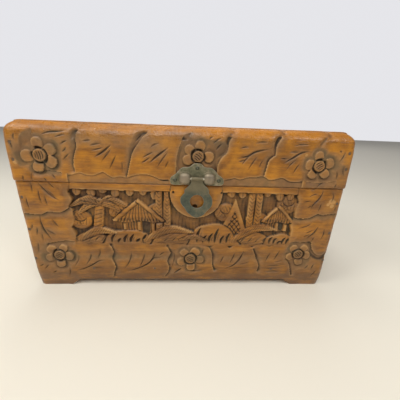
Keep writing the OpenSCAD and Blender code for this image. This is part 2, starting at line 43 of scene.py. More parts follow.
# How far behind the frame's origin the middle of the box lies
MID_Y = 2.775
HALF_X, HALF_Y = 150.0, 85.0
INNER_X, INNER_Y = 137.0, 72.0
SEAM_Z, BODY_TOP, LID_LOW = 108.6, 108.4, 108.8
TOTAL_H = 159.0
CORNER_R, ROLL_R = 7.0, 10.0
ROLL_Z = TOTAL_H - ROLL_R
RIM_STEP, TAPER = 0.75, 2.2
FACET_Z, FACET_IN = 17.0, 2.5
RECESS_Z, RECESS_IN = 150.0, 8.0
FOOT_H, FOOT_SLANT, FOOT_LEN = 7.4, 9.5, 33.0
LATCH_X = 9.5
JOINT_GAP = 0.06
LEAST_DEEP = 0.02
TOP_CLEAR = 0.15
NAIL_X = 143.5
LID_NAIL_Z = (126.9, 140.9)
BODY_NAIL_Z = (31.6, 62.7, 93.8)
BOTTOM_NAILS = ((-90.0, 20.5), (-30.0, 20.5), (90.0, 20.5))

# Lengths along the front strip: the flat, one rounded corner and the short return to the joint
FLAT_A = HALF_X - CORNER_R
TURN_A = CORNER_R * math.pi / 2
RETURN_A = HALF_Y - CORNER_R - INNER_Y
STRIP_A = FLAT_A + TURN_A + RETURN_A


# Small helpers
def smooth(t):
    t = np.clip(t, 0.0, 1.0)
    return t * t * (3.0 - 2.0 * t)


def heading(degrees):
    """Cosine and sine of an angle."""
    return math.cos(math.radians(degrees)), math.sin(math.radians(degrees))


def curve(points, steps=5):
    """A smooth line through the points."""
    p = np.asarray(points, float)
    p = np.vstack([2 * p[0] - p[1], p, 2 * p[-1] - p[-2]])
    t = np.linspace(0.0, 1.0, steps, endpoint=False)[:, None]
    parts = [
        0.5 * (2 * b + (c - a) * t + (2 * a - 5 * b + 4 * c - d) * t ** 2 + (3 * b - a - 3 * c + d) * t ** 3)
        for a, b, c, d in zip(p, p[1:], p[2:], p[3:])
    ]
    return np.vstack(parts + [p[-2:-1]])


def near_line(x, z, points):
    """Distance to a line, the place along it from 0 to 1, and the side: 1 on the left of its course."""
    points = np.asarray(points, float)
    steps = np.diff(points, axis=0)
    lengths = np.maximum(np.hypot(steps[:, 0], steps[:, 1]), 1e-6)
    starts = np.concatenate([[0.0], np.cumsum(lengths)])
    best = np.full(x.shape, 1e9)
    share = np.zeros(x.shape)
    side = np.ones(x.shape)
    for (px, pz), (dx, dz), length, start in zip(points, steps, lengths, starts):
        t = np.clip(((x - px) * dx + (z - pz) * dz) / length ** 2, 0.0, 1.0)
        ox, oz = x - px - t * dx, z - pz - t * dz
        gap = np.hypot(ox, oz)
        near = gap < best
        best[near] = gap[near]
        share[near] = ((start + t * length) / starts[-1])[near]
        side[near] = np.where(dx * oz - dz * ox >= 0, 1.0, -1.0)[near]
    return best, share, side


def within(x, z, outline):
    """Distance inside a closed outline; negative outside it."""
    outline = np.asarray(outline, float)
    closed = np.vstack([outline, outline[:1]])
    gap = near_line(x, z, closed)[0]
    inside = np.zeros(x.shape, bool)
    for (x1, z1), (x2, z2) in zip(closed, closed[1:]):
        if z1 != z2:
            inside ^= ((z1 > z) != (z2 > z)) & (x < (x2 - x1) * (z - z1) / (z2 - z1) + x1)
    return np.where(inside, gap, -gap)


def box_blur(values, cells):
    """Mean over a square of 2 * cells + 1, run twice for a soft falloff."""
    for _ in range(2):
        for axis in (0, 1):
            pad = [(0, 0), (0, 0)]
            pad[axis] = (cells + 1, cells)
            total = np.cumsum(np.pad(values, pad, mode="edge"), axis=axis)
            span = 2 * cells + 1
            n = values.shape[axis]
            high = np.take(total, np.arange(span, span + n), axis=axis)
            low = np.take(total, np.arange(0, n), axis=axis)
            values = (high - low) / span
    return values


def extreme(values, cells, pick):
    """Lowest or highest value over a square of 2 * cells + 1."""
    for axis in (0, 1):
        pad = [(0, 0), (0, 0)]
        pad[axis] = (cells, cells)
        padded = np.pad(values, pad, mode="edge")
        n = values.shape[axis]
        values = pick.reduce([np.take(padded, np.arange(i, i + n), axis=axis) for i in range(2 * cells + 1)])
    return values


def waves(x, z, seed, sizes, amount):
    """Gentle unevenness left by hand tools: a few crossing waves."""
    rng = np.random.default_rng(seed)
    total = np.zeros(x.shape)
    for size in sizes:
        for _ in range(3):
            turn = rng.uniform(0, math.pi)
            phase = rng.uniform(0, 2 * math.pi)
            total += np.sin((x * math.cos(turn) + z * math.sin(turn)) * 2 * math.pi / size + phase)
    return amount * total / (3 * len(sizes))


# Relief carving
class Relief:
    """Depth of the carving below a board's face, on a grid of drawing places in millimetres."""

    def __init__(self, x, z, cell):
        self.x, self.z, self.cell = x, z, cell
        self.deep, self.grime, self.haze, self.rim, self.cloud = (np.zeros(x.shape) for _ in range(5))
        self.spared = np.ones(x.shape)
        self.cols = x.min(0), x.max(0)
        self.rows = z.min(1), z.max(1)

    def window(self, x0, x1, z0, z1):
        cols = np.flatnonzero((self.cols[1] >= x0) & (self.cols[0] <= x1))
        rows = np.flatnonzero((self.rows[1] >= z0) & (self.rows[0] <= z1))
        if not len(cols) or not len(rows):
            return None
        return np.s_[rows[0]:rows[-1] + 1, cols[0]:cols[-1] + 1]

    def near(self, points, margin):
        (x0, z0), (x1, z1) = points.min(0), points.max(0)
        return self.window(x0 - margin, x1 + margin, z0 - margin, z1 + margin)

    def gouge(self, points, width=1.7, deep=1.2):
        """A cut of a veining tool, pointed at both ends."""
        line = curve(points)
        at = self.near(line, width)
        if at is None:
            return
        gap, share, _ = near_line(self.x[at], self.z[at], line)
        taper = np.sin(math.pi * share) ** 0.6
        cut = np.clip(1.0 - gap / (width / 2 * taper + 1e-6), 0.0, 1.0) ** 0.8 * taper
        self.deep[at] += deep * cut
        self.cover(at, 0.25 * taper * np.exp(-(gap / (0.8 * width)) ** 2))

    def gouges(self, strokes, width=1.7, deep=1.2):
        for stroke in strokes:
            self.gouge(stroke, width, deep)

    def cover(self, at, film_and_shading):
        """Dull film of dust and old varnish, also laid as painted shade in channels, under edges and round
        petals.
        """
        self.haze[at] = np.maximum(self.haze[at], film_and_shading)

    def overlap(self, points, drop=1.5, reach=3.4, high=1, ends=0.07, film_and_shading=0.85, line_dirt_and_shade=0.5):
        """A leaf edge: one side stays high, and the other runs down into a soft channel under it."""
        line = curve(points)
        at = self.near(line, 5 * reach)
        if at is None:
            return
        gap, share, side = near_line(self.x[at], self.z[at], line)
        fade = smooth(share / ends) * smooth((1 - share) / ends)
        under = side * high < 0
        low = drop * (np.exp(-(gap / reach) ** 2) + 0.3 * np.exp(-gap / (2.4 * reach)))
        lip = 0.2 * np.exp(-gap / 0.9) + 0.4 * drop * np.exp(-gap / (1.8 * reach))
        self.deep[at] += fade * np.where(under, low, lip)
        # The channel under the edge gets a film of painted shade and, right under the edge, a broken dark
        # line of painted shadow; the high side gets a light rim, part wear and part painted highlight.
        self.cover(at, film_and_shading * fade * np.where(under, np.exp(-(gap / (0.95 * reach)) ** 2), 0))
        broken = 0.5 + 0.6 * np.sin(share * 23 + line[0, 0]) * np.sin(share * 9 + line[0, 1])
        dark = line_dirt_and_shade * fade * np.clip(broken, 0.12, 1) * np.where(under, np.exp(-(gap / 0.55) ** 2), 0)
        self.grime[at] = np.maximum(self.grime[at], dark)
        self.rim[at] = np.maximum(self.rim[at], 0.8 * fade * np.where(under, 0, np.exp(-gap / 0.6)))

    def flower(self, cx, cz, angles, reach=13.6, disc=5.0, ground=2.0, ring=0.5, turn=0.4):
        """Cupped petals round a striped disc, undercut by a ditch that widens between them."""
        at = self.window(cx - reach - 7, cx + reach + 7, cz - reach - 7, cz + reach + 7)
        dx, dz = self.x[at] - cx, self.z[at] - cz
        q = np.hypot(dx, dz)
        around = np.arctan2(dz, dx)
        petal_l, petal_w = reach * 0.33, reach * 0.325
        beyond = np.full(q.shape, 1e3)
        petals = np.full(q.shape, 1e3)
        for i, angle in enumerate(angles):
            c, s = heading(angle)
            along = dx * c + dz * s - (reach - petal_l)
            across = dz * c - dx * s
            wide = petal_w * (0.99 + 0.09 * math.sin(i * 2.3 + cx))
            e = (np.abs(along / petal_l) ** 2.3 + np.abs(across / wide) ** 2.3) ** (1 / 2.3)
            cup = 0.1 + 0.5 * e ** 5 + 0.9 * (1 - along / petal_l) ** 2 / 4
            petals = np.where(e < 1.0, np.minimum(petals, cup), petals)
            beyond = np.minimum(beyond, (e - 1.0) * petal_l)
        ring_w = 1.0 + 0.5 * np.sin(around * 2 + cx) + 0.25 * np.sin(around * 5 + cz)
        hollow = smooth((disc + ring_w + 0.9 - q) / 0.9)
        apart = np.maximum(beyond, 0)
        # The ground falls towards the petals, steeper below and to the right of them
        lean = 1 + 0.25 * np.cos(around + 0.9)
        outside = ground * lean * np.exp(-(apart / 4.5) ** 2)
        level = np.where(petals < 1e2, petals + (ground + ring) * hollow, np.maximum(self.deep[at], outside))
        lengthways = dz * math.cos(turn) - dx * math.sin(turn)
        bend = dx * math.cos(turn) + dz * math.sin(turn) + 0.05 * lengthways ** 2
        length = np.abs(lengthways) / disc
        stripe = np.clip(1.0 - np.abs((bend / 1.9) % 1.0 - 0.5) / 0.34, 0.0, 1.0)
        stripe *= smooth((0.8 - q / disc) / 0.15) * smooth((0.75 - length) / 0.2)
        level = np.where(q < disc, 0.2 + 0.9 * (q / disc) ** 5 + 1.3 * stripe, level)
        self.deep[at] = level
        # Painted shade: the petals darken towards the disc so that they look cupped, and a film with a thin
        # dark line of painted shadow lies round them, darkest below and to the right; the ring round the disc
        # is dark.
        on_petal = petals < 1e2
        film_and_shading = np.where(on_petal, 0.1 + 0.65 * smooth((disc + ring_w + 2.2 - q) / 2.2),
                        0.85 * np.exp(-(apart / 3.2) ** 2))
        film_and_shading = np.where(q < disc, 0.25, film_and_shading)
        self.haze[at] = np.where(q < reach, film_and_shading, np.maximum(self.haze[at], film_and_shading))
        shaded = np.clip(0.25 + 0.75 * np.cos(around + 0.9), 0, 1)
        dark = np.where(on_petal, 0.45 * hollow, 0.4 * shaded * np.exp(-(apart / 0.7) ** 2))
        dark = np.where((q < disc + 0.7 * ring_w) & (q > disc - 0.2), 0.42, dark)
        dark = np.where(q < disc - 0.2, 0.2 * stripe, dark)
        self.grime[at] = np.where(q < reach - 2, dark, np.maximum(self.grime[at], dark))
        edge = np.where(on_petal, np.exp(-np.abs(beyond) / 0.6) * (1 - hollow), 0)
        edge = np.where(q < disc, np.exp(-(disc - q) / 0.7), edge)
        self.rim[at] = np.maximum(self.rim[at] * (q > reach), 0.8 * edge)
        self.spared[at] = np.where((q < reach + 1) & (apart < 1.5), 0.45, self.spared[at])

    def dent(self, x, z, radius=1.3, deep=1.25):
        at = self.window(x - 4, x + 4, z - 4, z + 4)
        if at is not None:
            q = np.hypot(self.x[at] - x, self.z[at] - z)
            self.deep[at] = np.maximum(self.deep[at], deep * smooth((radius + 0.6 - q) / 0.6))

    def sink(self, outline, deep, soft=1.5, film_and_shading=0.9, dirt=0.16):
        """Lowers the ground inside an outline."""
        outline = curve(list(outline) + [outline[0]])[:-1]
        at = self.near(outline, soft)
        if at is not None:
            gap = within(self.x[at], self.z[at], outline)
            share = smooth(gap / soft + 0.5)
            self.deep[at] = np.maximum(self.deep[at], deep * share)
            self.cover(at, film_and_shading * smooth(gap / (1.6 * soft) + 0.5))
            self.grime[at] = np.maximum(self.grime[at], dirt * share)

    def raised(self, outline, top, bulge=0.6, ditch=1.4, ditch_w=1.0, round_off=True):
        """A shape that stands in the ground, with a cut line round it. Returns where it is."""
        outline = np.asarray(outline, float)
        if round_off:
            outline = curve(np.vstack([outline, outline[:1]]), 3)[:-1]
        at = self.near(outline, 2 * ditch_w)
        if at is None:
            return None
        gap = within(self.x[at], self.z[at], outline)
        deep = self.deep[at]
        deep = np.where((gap < 0) & (gap > -ditch_w), np.maximum(deep, top + ditch), deep)
        size = max(gap.max(), 0.1)
        level = top + 0.5 * np.exp(-np.maximum(gap, 0) / 0.6) + bulge * (1 - smooth(gap / size))
        self.deep[at] = np.where(gap < 0, deep, level)
        return at, gap

    def hatch(self, where, angle=None, pitch=2.4, deep=0.8, share=0.5, fan=None, spine=None, margin=0.8):
        """Parallel, fanned or herringbone cuts inside a raised shape."""
        if where is None:
            return
        at, gap = where
        x, z = self.x[at], self.z[at]
        if fan:
            place = np.arctan2(z - fan[1], x - fan[0]) * 180 / math.pi / pitch
        elif spine:
            (sx, sz), (ex, ez) = spine
            length = math.hypot(ex - sx, ez - sz)
            ux, uz = (ex - sx) / length, (ez - sz) / length
            place = ((x - sx) * ux + (z - sz) * uz - 1.1 * np.abs((z - sz) * ux - (x - sx) * uz)) / pitch
        else:
            c, s = heading(angle)
            place = ((z * c - x * s) + 0.35 * np.sin((x * c + z * s) * 0.35)) / pitch
        cut = np.clip(1.0 - np.abs(place % 1.0 - 0.5) / (share / 2), 0.0, 1.0) ** 0.8
        self.deep[at] += deep * cut * smooth((gap - margin) / 0.6)

    def patch(self, x, z, half_x, half_z, film_and_shading):
        """A cloud of dull film, or where the amount is below 0, a place rubbed clean; some patches are
        painted sheen, light and shade instead.
        """
        self.cloud += film_and_shading * np.exp(-((self.x - x) / half_x) ** 2 - ((self.z - z) / half_z) ** 2)

    def chip_and_glare(self, x, z, radius=0.9):
        """A pale spot: the varnish bruised pale, and where spots are laid in a group, a painted highlight of
        glare.
        """
        at = self.window(x - 6, x + 6, z - 6, z + 6)
        if at is not None:
            q = np.hypot(self.x[at] - x, self.z[at] - z)
            self.rim[at] = np.maximum(self.rim[at], 1.1 * smooth((radius + 0.7 - q) / 1.2))

    def stains(self):
        """Dirt and painted shade in the cuts and hollows and deeper down, film with painted shade and sheen,
        wear and painted highlights on what stands out, and the clean glow of broad smooth places, lit further
        as painted light where patches say so.
        """
        cells = max(1, round(1.2 / self.cell))
        level = extreme(extreme(self.deep, cells, np.minimum), cells, np.maximum)
        cuts = self.deep - level
        near = box_blur(level, max(1, round(1.0 / self.cell)))
        far = box_blur(level, max(2, round(4.0 / self.cell)))
        # Darker in narrow cuts, in hollows and with depth: dirt, and painted shade in the recesses.
        dirt = 0.7 * self.spared * np.clip(cuts - 0.1, 0, None) + 0.1 * np.clip(level - far - 0.2, 0, None)
        dirt += 0.1 * np.clip(level - near - 0.1, 0, None) + 0.13 * np.clip(level - 2.4, 0, None) + self.grime
        wear = 0.4 * np.clip(near - level - 0.12, 0, None) + 0.15 * np.clip(far - level - 0.15, 0, None)
        busy = box_blur(np.abs(self.deep - near) + 0.25 * self.haze, max(2, round(3.5 / self.cell)))
        haze = self.haze + 0.4 * smooth(busy / 0.35) + self.cloud
        glow = 1 - smooth(busy / 0.25) - np.minimum(self.cloud, 0)
        return {"dirt": dirt, "wear": wear + self.rim, "haze": haze, "glow": glow}


# The form of the boards
def around_front(a, half_x, half_y, round_r):
    """Place, outward direction and drawing place at a along the front strip."""
    side, m = np.sign(a), np.abs(a)
    flat = np.clip(m / FLAT_A, 0, 1)
    turn = np.clip((m - FLAT_A) / TURN_A, 0, 1) * math.pi / 2
    back = np.clip((m - FLAT_A - TURN_A) / RETURN_A, 0, 1) * (half_y - round_r - INNER_Y)
    x = side * (flat * (half_x - round_r) + round_r * np.sin(turn))
    out = half_y - round_r + round_r * np.cos(turn) - back
    drawn = side * (flat * (half_x - round_r) + round_r * turn + back)
    return x, out, side * np.sin(turn), np.cos(turn), drawn


def divide(marks, cells):
    """Places between the marks, at most a cell apart."""
    places = [np.array([marks[0]])]
    for low, high, cell in zip(marks, marks[1:], cells):
        count = max(1, math.ceil((high - low) / cell - 1e-9))
        places.append(np.linspace(low, high, count + 1)[1:])
    return np.concatenate(places)


# Where a place along, outward from and up each side lies in x, y and z
SIDES = {
    "front": lambda u, out, z: (u, -out + MID_Y, z),
    "back": lambda u, out, z: (-u, out + MID_Y, z),
    "right": lambda u, out, z: (out, u + MID_Y, z),
    "left": lambda u, out, z: (-out, -u + MID_Y, z),
}


def foot_low(u, half):
    """Height of a board's lower edge: feet at both ends, cut away between them."""
    low = half - FOOT_LEN
    return FOOT_H * np.clip((low - np.abs(u)) / FOOT_SLANT, 0, 1)


class Board:
    """A closed board: a carved grid outside and flat faces behind it."""

    def __init__(self, name, side):
        self.name, self.side = name, side
        self.extra, self.caps = [], []

    def take_grid(self, u, out, z, along_n, out_n, up_n, relief):
        """Takes places and outward directions, and sinks them by the relief."""
        deep = np.maximum(relief.deep, LEAST_DEEP)
        self.u, self.out, self.z = u - along_n * deep, out - out_n * deep, z - up_n * deep
        self.shape = u.shape
        self.stains = relief.stains()

    def at(self, row, col):
        rows, cols = self.shape
        return (row % rows) * cols + col % cols

    def row(self, row, start=0, stop=None):
        stop = self.shape[1] - 1 if stop is None else stop
        step = 1 if stop >= start else -1
        return [self.at(row, c) for c in range(start, stop + step, step)]

    def col(self, col, up=True):
        found = [self.at(r, col) for r in range(self.shape[0])]
        return found if up else found[::-1]

    def point(self, u, out, z):
        self.extra.append((u, out, z))
        return self.shape[0] * self.shape[1] + len(self.extra) - 1

    def cap(self, loop):
        self.caps.append([v for i, v in enumerate(loop) if v != loop[i - 1]])

    def skirt(self, line, places, closed=False):
        """Hangs a strip of faces from a line of grid points, down to the given places."""
        low = [self.point(*place) for place in places]
        for i in range(len(line) if closed else len(line) - 1):
            j = (i + 1) % len(line)
            self.cap([line[i], line[j], low[j], low[i]])
        return low

    def foot_points(self, low, inner):
        """The inner corners of the feet and of the gap between them, from right to left."""
        corners = ((low, 0), (low - FOOT_SLANT, FOOT_H), (FOOT_SLANT - low, FOOT_H), (-low, 0))
        return [self.point(u, inner, z) for u, z in corners]

    def close_feet(self, line, marks, feet, left_end=(), right_end=()):
        """Closes the lower edge back to the inner corners; line and marks say where the feet end."""
        foot_right, gap_right, gap_left, foot_left = feet
        breaks = [int(np.argmin(np.abs(line - mark))) for mark in marks]
        ends = ([foot_left, *left_end], [gap_left, foot_left], [gap_right, gap_left],
                [foot_right, gap_right], [*right_end, foot_right])
        for start, stop, end in zip([0] + breaks, breaks + [self.shape[1] - 1], ends):
            self.cap(self.row(0, start, stop) + end)

    def make(self, materials, body, replaced, slot):
        rows, cols = self.shape
        u = np.concatenate([self.u.ravel(), [e[0] for e in self.extra]])
        out = np.concatenate([self.out.ravel(), [e[1] for e in self.extra]])
        z = np.concatenate([self.z.ravel(), [e[2] for e in self.extra]])
        places = np.stack(SIDES[self.side](u, out, z), -1) * MM
        r, c = np.meshgrid(np.arange(rows - 1), np.arange(cols - 1), indexing="ij")
        first = (r * cols + c).ravel()
        quads = np.stack([first, first + 1, first + 1 + cols, first + cols], -1)
        mesh = bpy.data.meshes.new(self.name)
        mesh.from_pydata(places.tolist(), [], quads.tolist() + self.caps)
        count = len(quads)
        smooth_faces = np.zeros(len(mesh.polygons), bool)
        smooth_faces[:count] = True
        mesh.polygons.foreach_set("use_smooth", smooth_faces)
        index = np.ones(len(mesh.polygons), np.int32)
        index[:count] = 0
        mesh.polygons.foreach_set("material_index", index)
        for label, grid in self.stains.items():
            values = np.concatenate([np.clip(grid, 0, 1).ravel(),
                                     np.zeros(len(self.extra))]).astype(np.float32)
            mesh.attributes.new(label, "FLOAT", "POINT").data.foreach_set("value", values)
        work = bmesh.new()
        work.from_mesh(mesh)
        bmesh.ops.recalc_face_normals(work, faces=work.faces)
        bmesh.ops.triangulate(work, faces=[face for face in work.faces if len(face.verts) > 4])
        work.to_mesh(mesh)
        work.free()
        piece = bpy.data.objects.new(self.name, mesh)
        bpy.context.scene.collection.objects.link(piece)
        for material in materials:
            mesh.materials.append(material)
        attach(piece, body)
        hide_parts(replaced)
        return piece


def body_inset(z):
    """How far a face of the body lies inside the lid's."""
    return RIM_STEP + (SEAM_Z - z) * TAPER / SEAM_Z


def body_long_board(name, side, cell, carve):
    """The front or back of the body, with both rounded corners."""
    board = Board(name, side)
    floor_half = HALF_X - body_inset(0)
    low = floor_half - FOOT_LEN
    scale = FLAT_A / (floor_half - CORNER_R)
    high_scale = FLAT_A / (HALF_X - body_inset(FOOT_H) - CORNER_R)
    foot_a, gap_a = low * scale, (low - FOOT_SLANT) * high_scale
    marks = [-STRIP_A, -FLAT_A, -foot_a, -gap_a, gap_a, foot_a, FLAT_A, STRIP_A]
    a = divide(marks, [1.2, cell, cell, cell, cell, cell, 1.2])
    level = divide([0, FACET_Z, BODY_TOP], [cell, cell])
    a, level = np.meshgrid(a, level)
    low_z = FOOT_H * np.clip((foot_a - np.abs(a)) / (foot_a - gap_a), 0, 1)
    z = np.where(level < FACET_Z, low_z + (FACET_Z - low_z) * level / FACET_Z, level)
    inset = body_inset(z)
    under = FACET_IN * np.clip((FACET_Z - z) / FACET_Z, 0, 1)
    x, out, nx, nout, drawn = around_front(a, HALF_X - inset, HALF_Y - inset - under, CORNER_R)
    relief = Relief(drawn, z, cell)
    carve(relief)
    board.take_grid(x, out, z, nx, nout, np.zeros_like(x), relief)
    board.cap(board.row(-1))
    feet = board.foot_points(low, INNER_Y)
    board.cap(board.col(0) + board.col(-1, False) + feet)
    board.close_feet(a[0], (-foot_a, -gap_a, gap_a, foot_a), feet)
    return board


def body_end_board(name, side, cell, carve):
    """One end of the body, between the long boards."""
    board = Board(name, side)
    low = HALF_Y - body_inset(0) - FOOT_LEN
    half = INNER_Y - JOINT_GAP
    marks = [-half, -low, FOOT_SLANT - low, low - FOOT_SLANT, low, half]
    u = divide(marks, [cell] * 5)
    level = divide([0, FACET_Z, BODY_TOP], [cell, cell])
    u, level = np.meshgrid(u, level)
    low_z = foot_low(u, low + FOOT_LEN)
    z = np.where(level < FACET_Z, low_z + (FACET_Z - low_z) * level / FACET_Z, level)
    out = HALF_X - body_inset(z)
    relief = Relief(u, z, cell)
    carve(relief)
    zero = np.zeros_like(u)
    board.take_grid(u, out, z, zero, zero + 1, zero, relief)
    high_left, high_right = board.point(-half, INNER_X, BODY_TOP), board.point(half, INNER_X, BODY_TOP)
    low_left, low_right = board.point(-half, INNER_X, 0), board.point(half, INNER_X, 0)
    feet = board.foot_points(low, INNER_X)
    board.cap(board.row(-1) + [high_right, high_left])
    board.cap(board.col(0) + [high_left, low_left])
    board.cap(board.col(-1) + [high_right, low_right])
    board.cap([low_left] + feet[::-1] + [low_right, high_right, high_left])
    board.close_feet(u[0], marks[1:5], feet, [low_left], [low_right])
    return board


ROLL_CELL = 0.8


def lid_rows(a, cell, end_angle):
    """Heights, roll angles and drawing heights of the lid's rows."""
    flat = divide([LID_LOW, ROLL_Z], [cell])
    count = math.ceil(ROLL_R * end_angle.max() / ROLL_CELL)
    share = np.arange(1, count + 1)[:, None] / count
    theta = np.vstack([np.zeros((len(flat), len(a))), share * end_angle[None, :]])
    z = np.vstack([np.repeat(flat[:, None], len(a), 1), ROLL_Z + ROLL_R * np.sin(theta[len(flat):])])
    drawn = np.where(theta > 0, ROLL_Z + ROLL_R * theta, z)
    return z, theta, drawn


def lid_long_board(name, side, cell, carve):
    """The front or back of the lid: a rounded top edge and a ledge for the top board."""
    board = Board(name, side)
    a = divide([-STRIP_A, -FLAT_A, FLAT_A, STRIP_A], [1.0, cell, 1.0])
    turn = np.clip((np.abs(a) - FLAT_A) / TURN_A, 0, 1) * math.pi / 2
    last_inset = RECESS_IN - CORNER_R * (1 - np.maximum(np.sin(turn), np.cos(turn)))
    z, theta, drawn_z = lid_rows(a, cell, np.arccos(1 - last_inset / ROLL_R))
    a = np.repeat(a[None, :], z.shape[0], 0)
    inset = ROLL_R * (1 - np.cos(theta))
    x, out, nx, nout, drawn_x = around_front(a, HALF_X - inset, HALF_Y - inset, CORNER_R)
    relief = Relief(drawn_x, drawn_z, cell)
    carve(relief)
    board.take_grid(x, out, z, nx * np.cos(theta), nout * np.cos(theta), np.sin(theta), relief)
    ledge = board.skirt(board.row(-1), [(u, back, RECESS_Z) for u, back in zip(x[-1], out[-1])])
    board.cap(ledge)
    board.cap(board.row(0))
    board.cap(board.col(0) + [ledge[0], ledge[-1]] + board.col(-1, False))
    return board


def lid_end_board(name, side, cell, carve):
    """One end of the lid, between the long boards."""
    board = Board(name, side)
    half = INNER_Y - JOINT_GAP
    u = divide([-half, half], [cell])
    end_angle = np.full(len(u), math.acos((ROLL_R - RECESS_IN) / ROLL_R))
    z, theta, drawn_z = lid_rows(u, cell, end_angle)
    u = np.repeat(u[None, :], z.shape[0], 0)
    out = HALF_X - ROLL_R * (1 - np.cos(theta))
    relief = Relief(u, drawn_z, cell)
    carve(relief)
    board.take_grid(u, out, z, np.zeros_like(u), np.cos(theta), np.sin(theta), relief)
    ledge = board.skirt(board.row(-1), [(place, HALF_X - RECESS_IN, RECESS_Z) for place in u[-1]])
    high_left, high_right = board.point(-half, INNER_X, RECESS_Z), board.point(half, INNER_X, RECESS_Z)
    low_left, low_right = board.point(-half, INNER_X, LID_LOW), board.point(half, INNER_X, LID_LOW)
    board.cap(ledge + [high_right, high_left])
    board.cap(board.col(0) + [ledge[0], high_left, low_left])
    board.cap(board.col(-1) + [ledge[-1], high_right, low_right])
    board.cap([high_left, high_right, low_right, low_left])
    board.cap(board.row(0) + [low_right, low_left])
    return board


def lid_top_board(name, cell, carve):
    """The top board, carved on its upper face."""
    board = Board(name, "front")
    margin, margin_cell = 3, 0.75
    halves = (HALF_X - RECESS_IN - TOP_CLEAR, HALF_Y - RECESS_IN - TOP_CLEAR)
    u, v = np.meshgrid(*(
        divide([-half, margin - half, half - margin, half], [margin_cell, cell, margin_cell])
        for half in halves
    ))
    # How far the rounded edge has drawn in at each place, along the sides and round the corners
    p, q = np.abs(u) - (HALF_X - CORNER_R), np.abs(v) - (HALF_Y - CORNER_R)
    inset = CORNER_R - np.maximum(p, q)
    under_root = np.maximum((p + q) ** 2 - 2 * (p ** 2 + q ** 2 - CORNER_R ** 2), 0)
    inset = np.where((p + inset > 0) & (q + inset > 0), (np.sqrt(under_root) - p - q) / 2, inset)
    z = ROLL_Z + np.sqrt(ROLL_R ** 2 - np.maximum(ROLL_R - inset, 0) ** 2)
    relief = Relief(u, v, cell)
    carve(relief)
    zero = np.zeros_like(u)
    board.take_grid(u, -v, z, zero, zero, zero + 1, relief)
    last = board.shape[1] - 1
    ring = board.row(0) + board.col(-1)[1:] + board.row(-1, last, 0)[1:] + board.col(0, False)[1:-1]
    flat_u, flat_out = u.ravel(), -v.ravel()
    foot = board.skirt(ring, [(flat_u[i], flat_out[i], RECESS_Z) for i in ring], closed=True)
    board.cap(foot)
    return board


# The carving itself
def common_face(relief, seed, low_edge=None, high_edge=None, joint=False):
    """Hand-made unevenness and softly broken edges."""
    relief.deep += 0.3 + waves(relief.x, relief.z, seed, (11, 19, 37), 0.28)
    if low_edge is not None:
        relief.deep += 0.55 * np.exp(-(relief.z - low_edge) / 0.6)
    if high_edge is not None:
        relief.deep += 0.55 * np.exp(-(high_edge - relief.z) / 0.6)
    if joint:
        reach = np.abs(relief.x)
        relief.deep += 0.35 * np.exp(-(reach.max(1, keepdims=True) - reach) / 0.5)


def nail_dents(relief, heights, others=()):
    """Dents for the heads of the nails at both ends of a long board, and of others along it."""
    for side in (-1, 1):
        for height in heights:
            relief.dent(side * NAIL_X, height)
    for place, height in others:
        relief.dent(place, height)


# Leaf edges of the lid, from their feet up; the right side of each lies over the left one
LID_EDGES = (
    ((-94.5, 116), (-95.2, 122), (-94.8, 128), (-93, 134), (-91.2, 139), (-91.6, 144), (-91, 149),
     (-88.5, 154.5)),
    ((-51.8, 113), (-50, 120), (-48, 128), (-46, 135), (-43, 140), (-39.5, 145), (-36, 150), (-32, 155)),
    ((26.3, 117), (26.8, 124), (27.8, 129), (30.5, 134), (34, 137.5), (35.3, 142), (36, 147),
     (38.5, 152.5)),
    ((69.3, 117), (70.8, 126), (72, 132), (75, 135.5), (77.2, 137.5), (77, 142), (78.2, 147),
     (82, 154.5)),
)
LID_SCALLOPS = (
    (-101, 115), (-97, 115.5), (-91, 117.2), (-86, 115.6), (-80, 115.2), (-75, 117), (-71, 118.2),
    (-67, 115.6), (-63, 113.7), (-57, 115), (-52, 114), (-47, 115.5), (-40, 117.2), (-33, 117),
    (-27, 115), (-22, 113), (-14, 113), (20, 113.8), (33, 114.2), (38, 114.8), (43, 116.2), (48, 115),
    (55, 117), (62, 117.4), (67, 118.4), (71, 117.3), (74, 115.4), (80, 116), (86, 117.4), (92, 114.8),
    (97, 114), (103, 114.4), (105, 114.6),
)
LID_MIDRIBS = (
    ((-119, 147), (-112, 150), (-105, 150.8), (-97, 152)), ((-78, 130.2), (-70, 135.5), (-62, 142)),
    ((-32.5, 126.6), (-25, 133.5), (-15, 141)), ((43, 133.6), (52, 135.4), (60, 139.8), (73, 142.6)),
    ((84.5, 130), (93, 135.5), (100, 140), (108.5, 142)),
)
